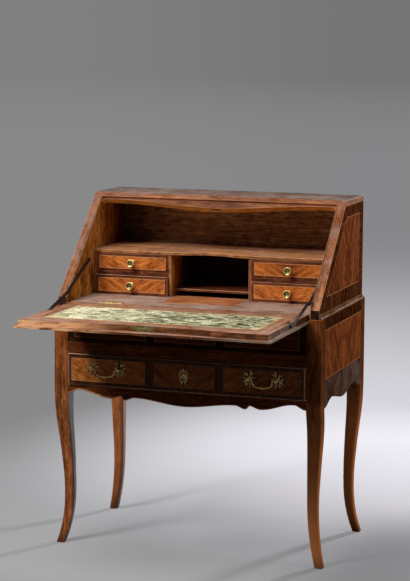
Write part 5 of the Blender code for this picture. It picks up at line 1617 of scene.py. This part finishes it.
class DESK_OT_stays(bpy.types.Operator):
    """Dresses the folding iron stays with rivets and brackets on the flap."""

    bl_idname = "desk.stays"
    bl_label = "Stays"

    def execute(self, context):
        iron = metal_look("black_iron", "iron", rough=0.5, metallic=0.6)
        rivet = turned("rivet_pattern", RIVET_PROFILE, sides=24, steps=2)
        for side, sign in zip(SIDES, (-1.0, 1.0)):
            inward = Matrix(((0, 0, -sign, 0), (0, 1, 0, 0), (sign, 0, 0, 0), (0, 0, 0, 1)))
            for part in ("lower", "upper"):
                node = f"stay_{part}_{side}"
                link = copy_of(node)
                round_arrises(link, node, METAL_ARRIS)
                if part == "lower":
                    low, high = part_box(node)
                    face = sign * (max(abs(low.x), abs(high.x)) - STAY_THICK)
                    head = twin(rivet, Matrix.Translation((face, KNEE[0], KNEE[1])) @ inward)
                    link = join(node, [link, head])
                stand_in(link, node, iron)
            outer = sign * (abs(FLAP_HIGH.x) - BRACKET_IN)
            inner = outer - sign * BRACKET_WIDE
            xs = sorted((outer, inner))
            y, top = STAY_PIN, FLAP_HIGH.z
            near, far = (xs[0], y - BRACKET_HALF, top), (xs[1], y + BRACKET_HALF, top + BRACKET_THICK)
            parts = [block("plate", near, far, BRACKET_ARRIS)]
            for step in (-RIVET_STEP, RIVET_STEP):
                place = ((outer + inner) / 2, y + step, top + RIVET_BASE)
                parts.append(twin(rivet, Matrix.Translation(place)))
            bracket = rounded(join(f"stay_bracket_{side}", parts))
            carry(bracket, "flap", iron)
        drop(rivet)
        return {"FINISHED"}


def softbox(name, place, target, size, watts):
    """Adds a square soft lamp, turned to its target."""
    bpy.ops.object.light_add(type="AREA")
    lamp = bpy.context.object
    lamp.name = name
    lamp.data.shape = "SQUARE"
    lamp.data.size = size
    lamp.data.energy = watts
    lamp.location = place
    lamp.rotation_mode = "QUATERNION"
    lamp.rotation_quaternion = (Vector(target) - Vector(place)).to_track_quat("-Z", "Y")


def camera_ray(net):
    """1 for rays that show the backdrop itself: camera, mirror and glass rays."""
    path = net.add("ShaderNodeLightPath")
    wires = [Wire(net, path.outputs[o]) for o in ("Is Camera Ray", "Is Glossy Ray", "Is Transmission Ray")]
    return net.most(*wires)


def backdrop_colours(net, turn, stage):
    """The backdrop's far and lower colours; turn is the direction's share to the right."""
    right = net.ramp(turn, -0.42, -0.22)
    far = net.mix(right, stage.backdrop, stage.backdrop_right)
    return far, net.mix(right, stage.middle, stage.middle_right)


def floor_look(stage):
    """Pale floor that keeps the shadows near the desk and fades into the backdrop."""
    material = bpy.data.materials.new("studio_floor")
    material.use_nodes = True
    net = Net(material.node_tree)
    net.tree.nodes.clear()
    x, y, z = net.place()
    out_from = net.math("SQRT", x * x + (y - 0.3) * (y - 0.3))
    turn = net.math("DIVIDE", x, out_from)
    far, middle = backdrop_colours(net, turn, stage)
    shown = net.mix(net.ramp(out_from, 8.0, 60.0), middle, far)
    shown = net.mix(net.ramp(out_from, 0.6, 1.9), stage.ground, shown)
    ahead, behind = (1.5 - y) * (1 / 1.38), (y - 1.5) * (1 / 1.2)
    deep = net.most(ahead, behind)
    beside = (x - 0.34) * (1 / 1.25)
    lit = 1.0 - net.ramp(net.math("SQRT", beside * beside + deep * deep), 0.4, 1.25)
    fade = 1.0 - net.ramp(out_from, 0.6, 9.6)
    tail = net.ramp(turn, -0.42, -0.16) * fade * fade * net.ramp(y, 0.5, 1.2)
    shown = net.mix(net.most(lit, tail), shown, stage.pool)
    corner = net.ramp(x, 0.2, 0.55) * (1.0 - net.ramp(y, 0.25, 0.75))
    shown = net.mix(corner * 0.5, shown, stage.corner)
    seen = camera_ray(net)
    diffuse = net.add("ShaderNodeBsdfDiffuse")
    net.feed(diffuse.inputs["Color"], net.mix(seen, FLOOR_BOUNCE, shown))
    glow = net.add("ShaderNodeEmission")
    net.feed(glow.inputs["Color"], shown)
    joined = net.add("ShaderNodeMixShader")
    net.feed(joined.inputs[0], (net.most(net.ramp(out_from, 0.9, 2.0), lit * 0.3) * 0.55 + 0.45) * seen)
    net.tree.links.new(diffuse.outputs[0], joined.inputs[1])
    net.tree.links.new(glow.outputs[0], joined.inputs[2])
    net.show(joined)
    return material


class DESK_OT_stage(bpy.types.Operator):
    """Sets the floor, the backdrop, the lamps and the camera."""

    bl_idname = "desk.stage"
    bl_label = "Stage"

    def execute(self, context):
        scene, stage = context.scene, context.scene.desk_stage
        floor = primitive("studio_floor", "circle", vertices=96, radius=FLOOR_RADIUS, fill_type="NGON")
        floor.data.materials.append(floor_look(stage))

        world = bpy.data.worlds.new("studio")
        scene.world = world
        world.use_nodes = True
        net = Net(world.node_tree)
        net.tree.nodes.clear()
        seen = camera_ray(net)
        sky = net.add("ShaderNodeBackground")
        turn = net.split(net.coordinates("Generated"))[0]
        net.feed(sky.inputs["Color"], net.mix(seen, (1.0, 1.0, 1.0), backdrop_colours(net, turn, stage)[0]))
        net.feed(sky.inputs["Strength"], net.blend(seen, stage.ambient, 1.0))
        net.show(sky, "World")

        for *lamp, watts in LAMPS:
            softbox(*lamp, getattr(stage, watts))

        bpy.ops.object.camera_add()
        camera = context.object
        camera.name = "view_camera"
        yaw, pitch, roll = stage.yaw, stage.pitch, stage.roll
        ahead = Vector((-math.sin(yaw) * math.cos(pitch), math.cos(yaw) * math.cos(pitch), -math.sin(pitch)))
        level = Vector((math.cos(yaw), math.sin(yaw), 0.0))
        up = level.cross(ahead)
        right = level * math.cos(roll) + up * math.sin(roll)
        up = right.cross(ahead)
        turn = Matrix((right, up, -ahead)).transposed().to_4x4()
        camera.matrix_world = Matrix.Translation(stage.eye) @ turn
        camera.data.sensor_width = SENSOR
        camera.data.lens = stage.lens
        camera.data.shift_y = stage.rise
        camera.data.clip_end = FAR_CLIP
        scene.camera = camera
        scene.view_settings.view_transform = "Standard"
        return {"FINISHED"}


STEPS = (
    DESK_OT_groups,
    DESK_OT_case,
    DESK_OT_legs,
    DESK_OT_interior,
    DESK_OT_small_drawers,
    DESK_OT_long_drawer,
    DESK_OT_flap,
    DESK_OT_knobs,
    DESK_OT_handles,
    DESK_OT_hinges,
    DESK_OT_stays,
    DESK_OT_stage,
)


class DESK_PT_sidebar(bpy.types.Panel):
    """Lists the desk's making, step by step."""

    bl_idname = "DESK_PT_sidebar"
    bl_label = "Slant-front desk"
    bl_space_type = "VIEW_3D"
    bl_region_type = "UI"
    bl_category = "Desk"

    def draw(self, context):
        for step in STEPS:
            self.layout.operator(step.bl_idname)


GROUPS = {"desk_sizes": DeskSizes, "desk_finish": DeskFinish, "desk_stage": DeskStage}
CLASSES = (*GROUPS.values(), *STEPS, DESK_PT_sidebar)


def register():
    for cls in CLASSES:
        bpy.utils.register_class(cls)
    for name, cls in GROUPS.items():
        setattr(bpy.types.Scene, name, bpy.props.PointerProperty(type=cls))


def unregister():
    for name in GROUPS:
        delattr(bpy.types.Scene, name)
    for cls in reversed(CLASSES):
        bpy.utils.unregister_class(cls)


def main():
    register()
    for step in STEPS:
        family, name = step.bl_idname.split(".")
        getattr(getattr(bpy.ops, family), name)()


if __name__ == "__main__":
    main()
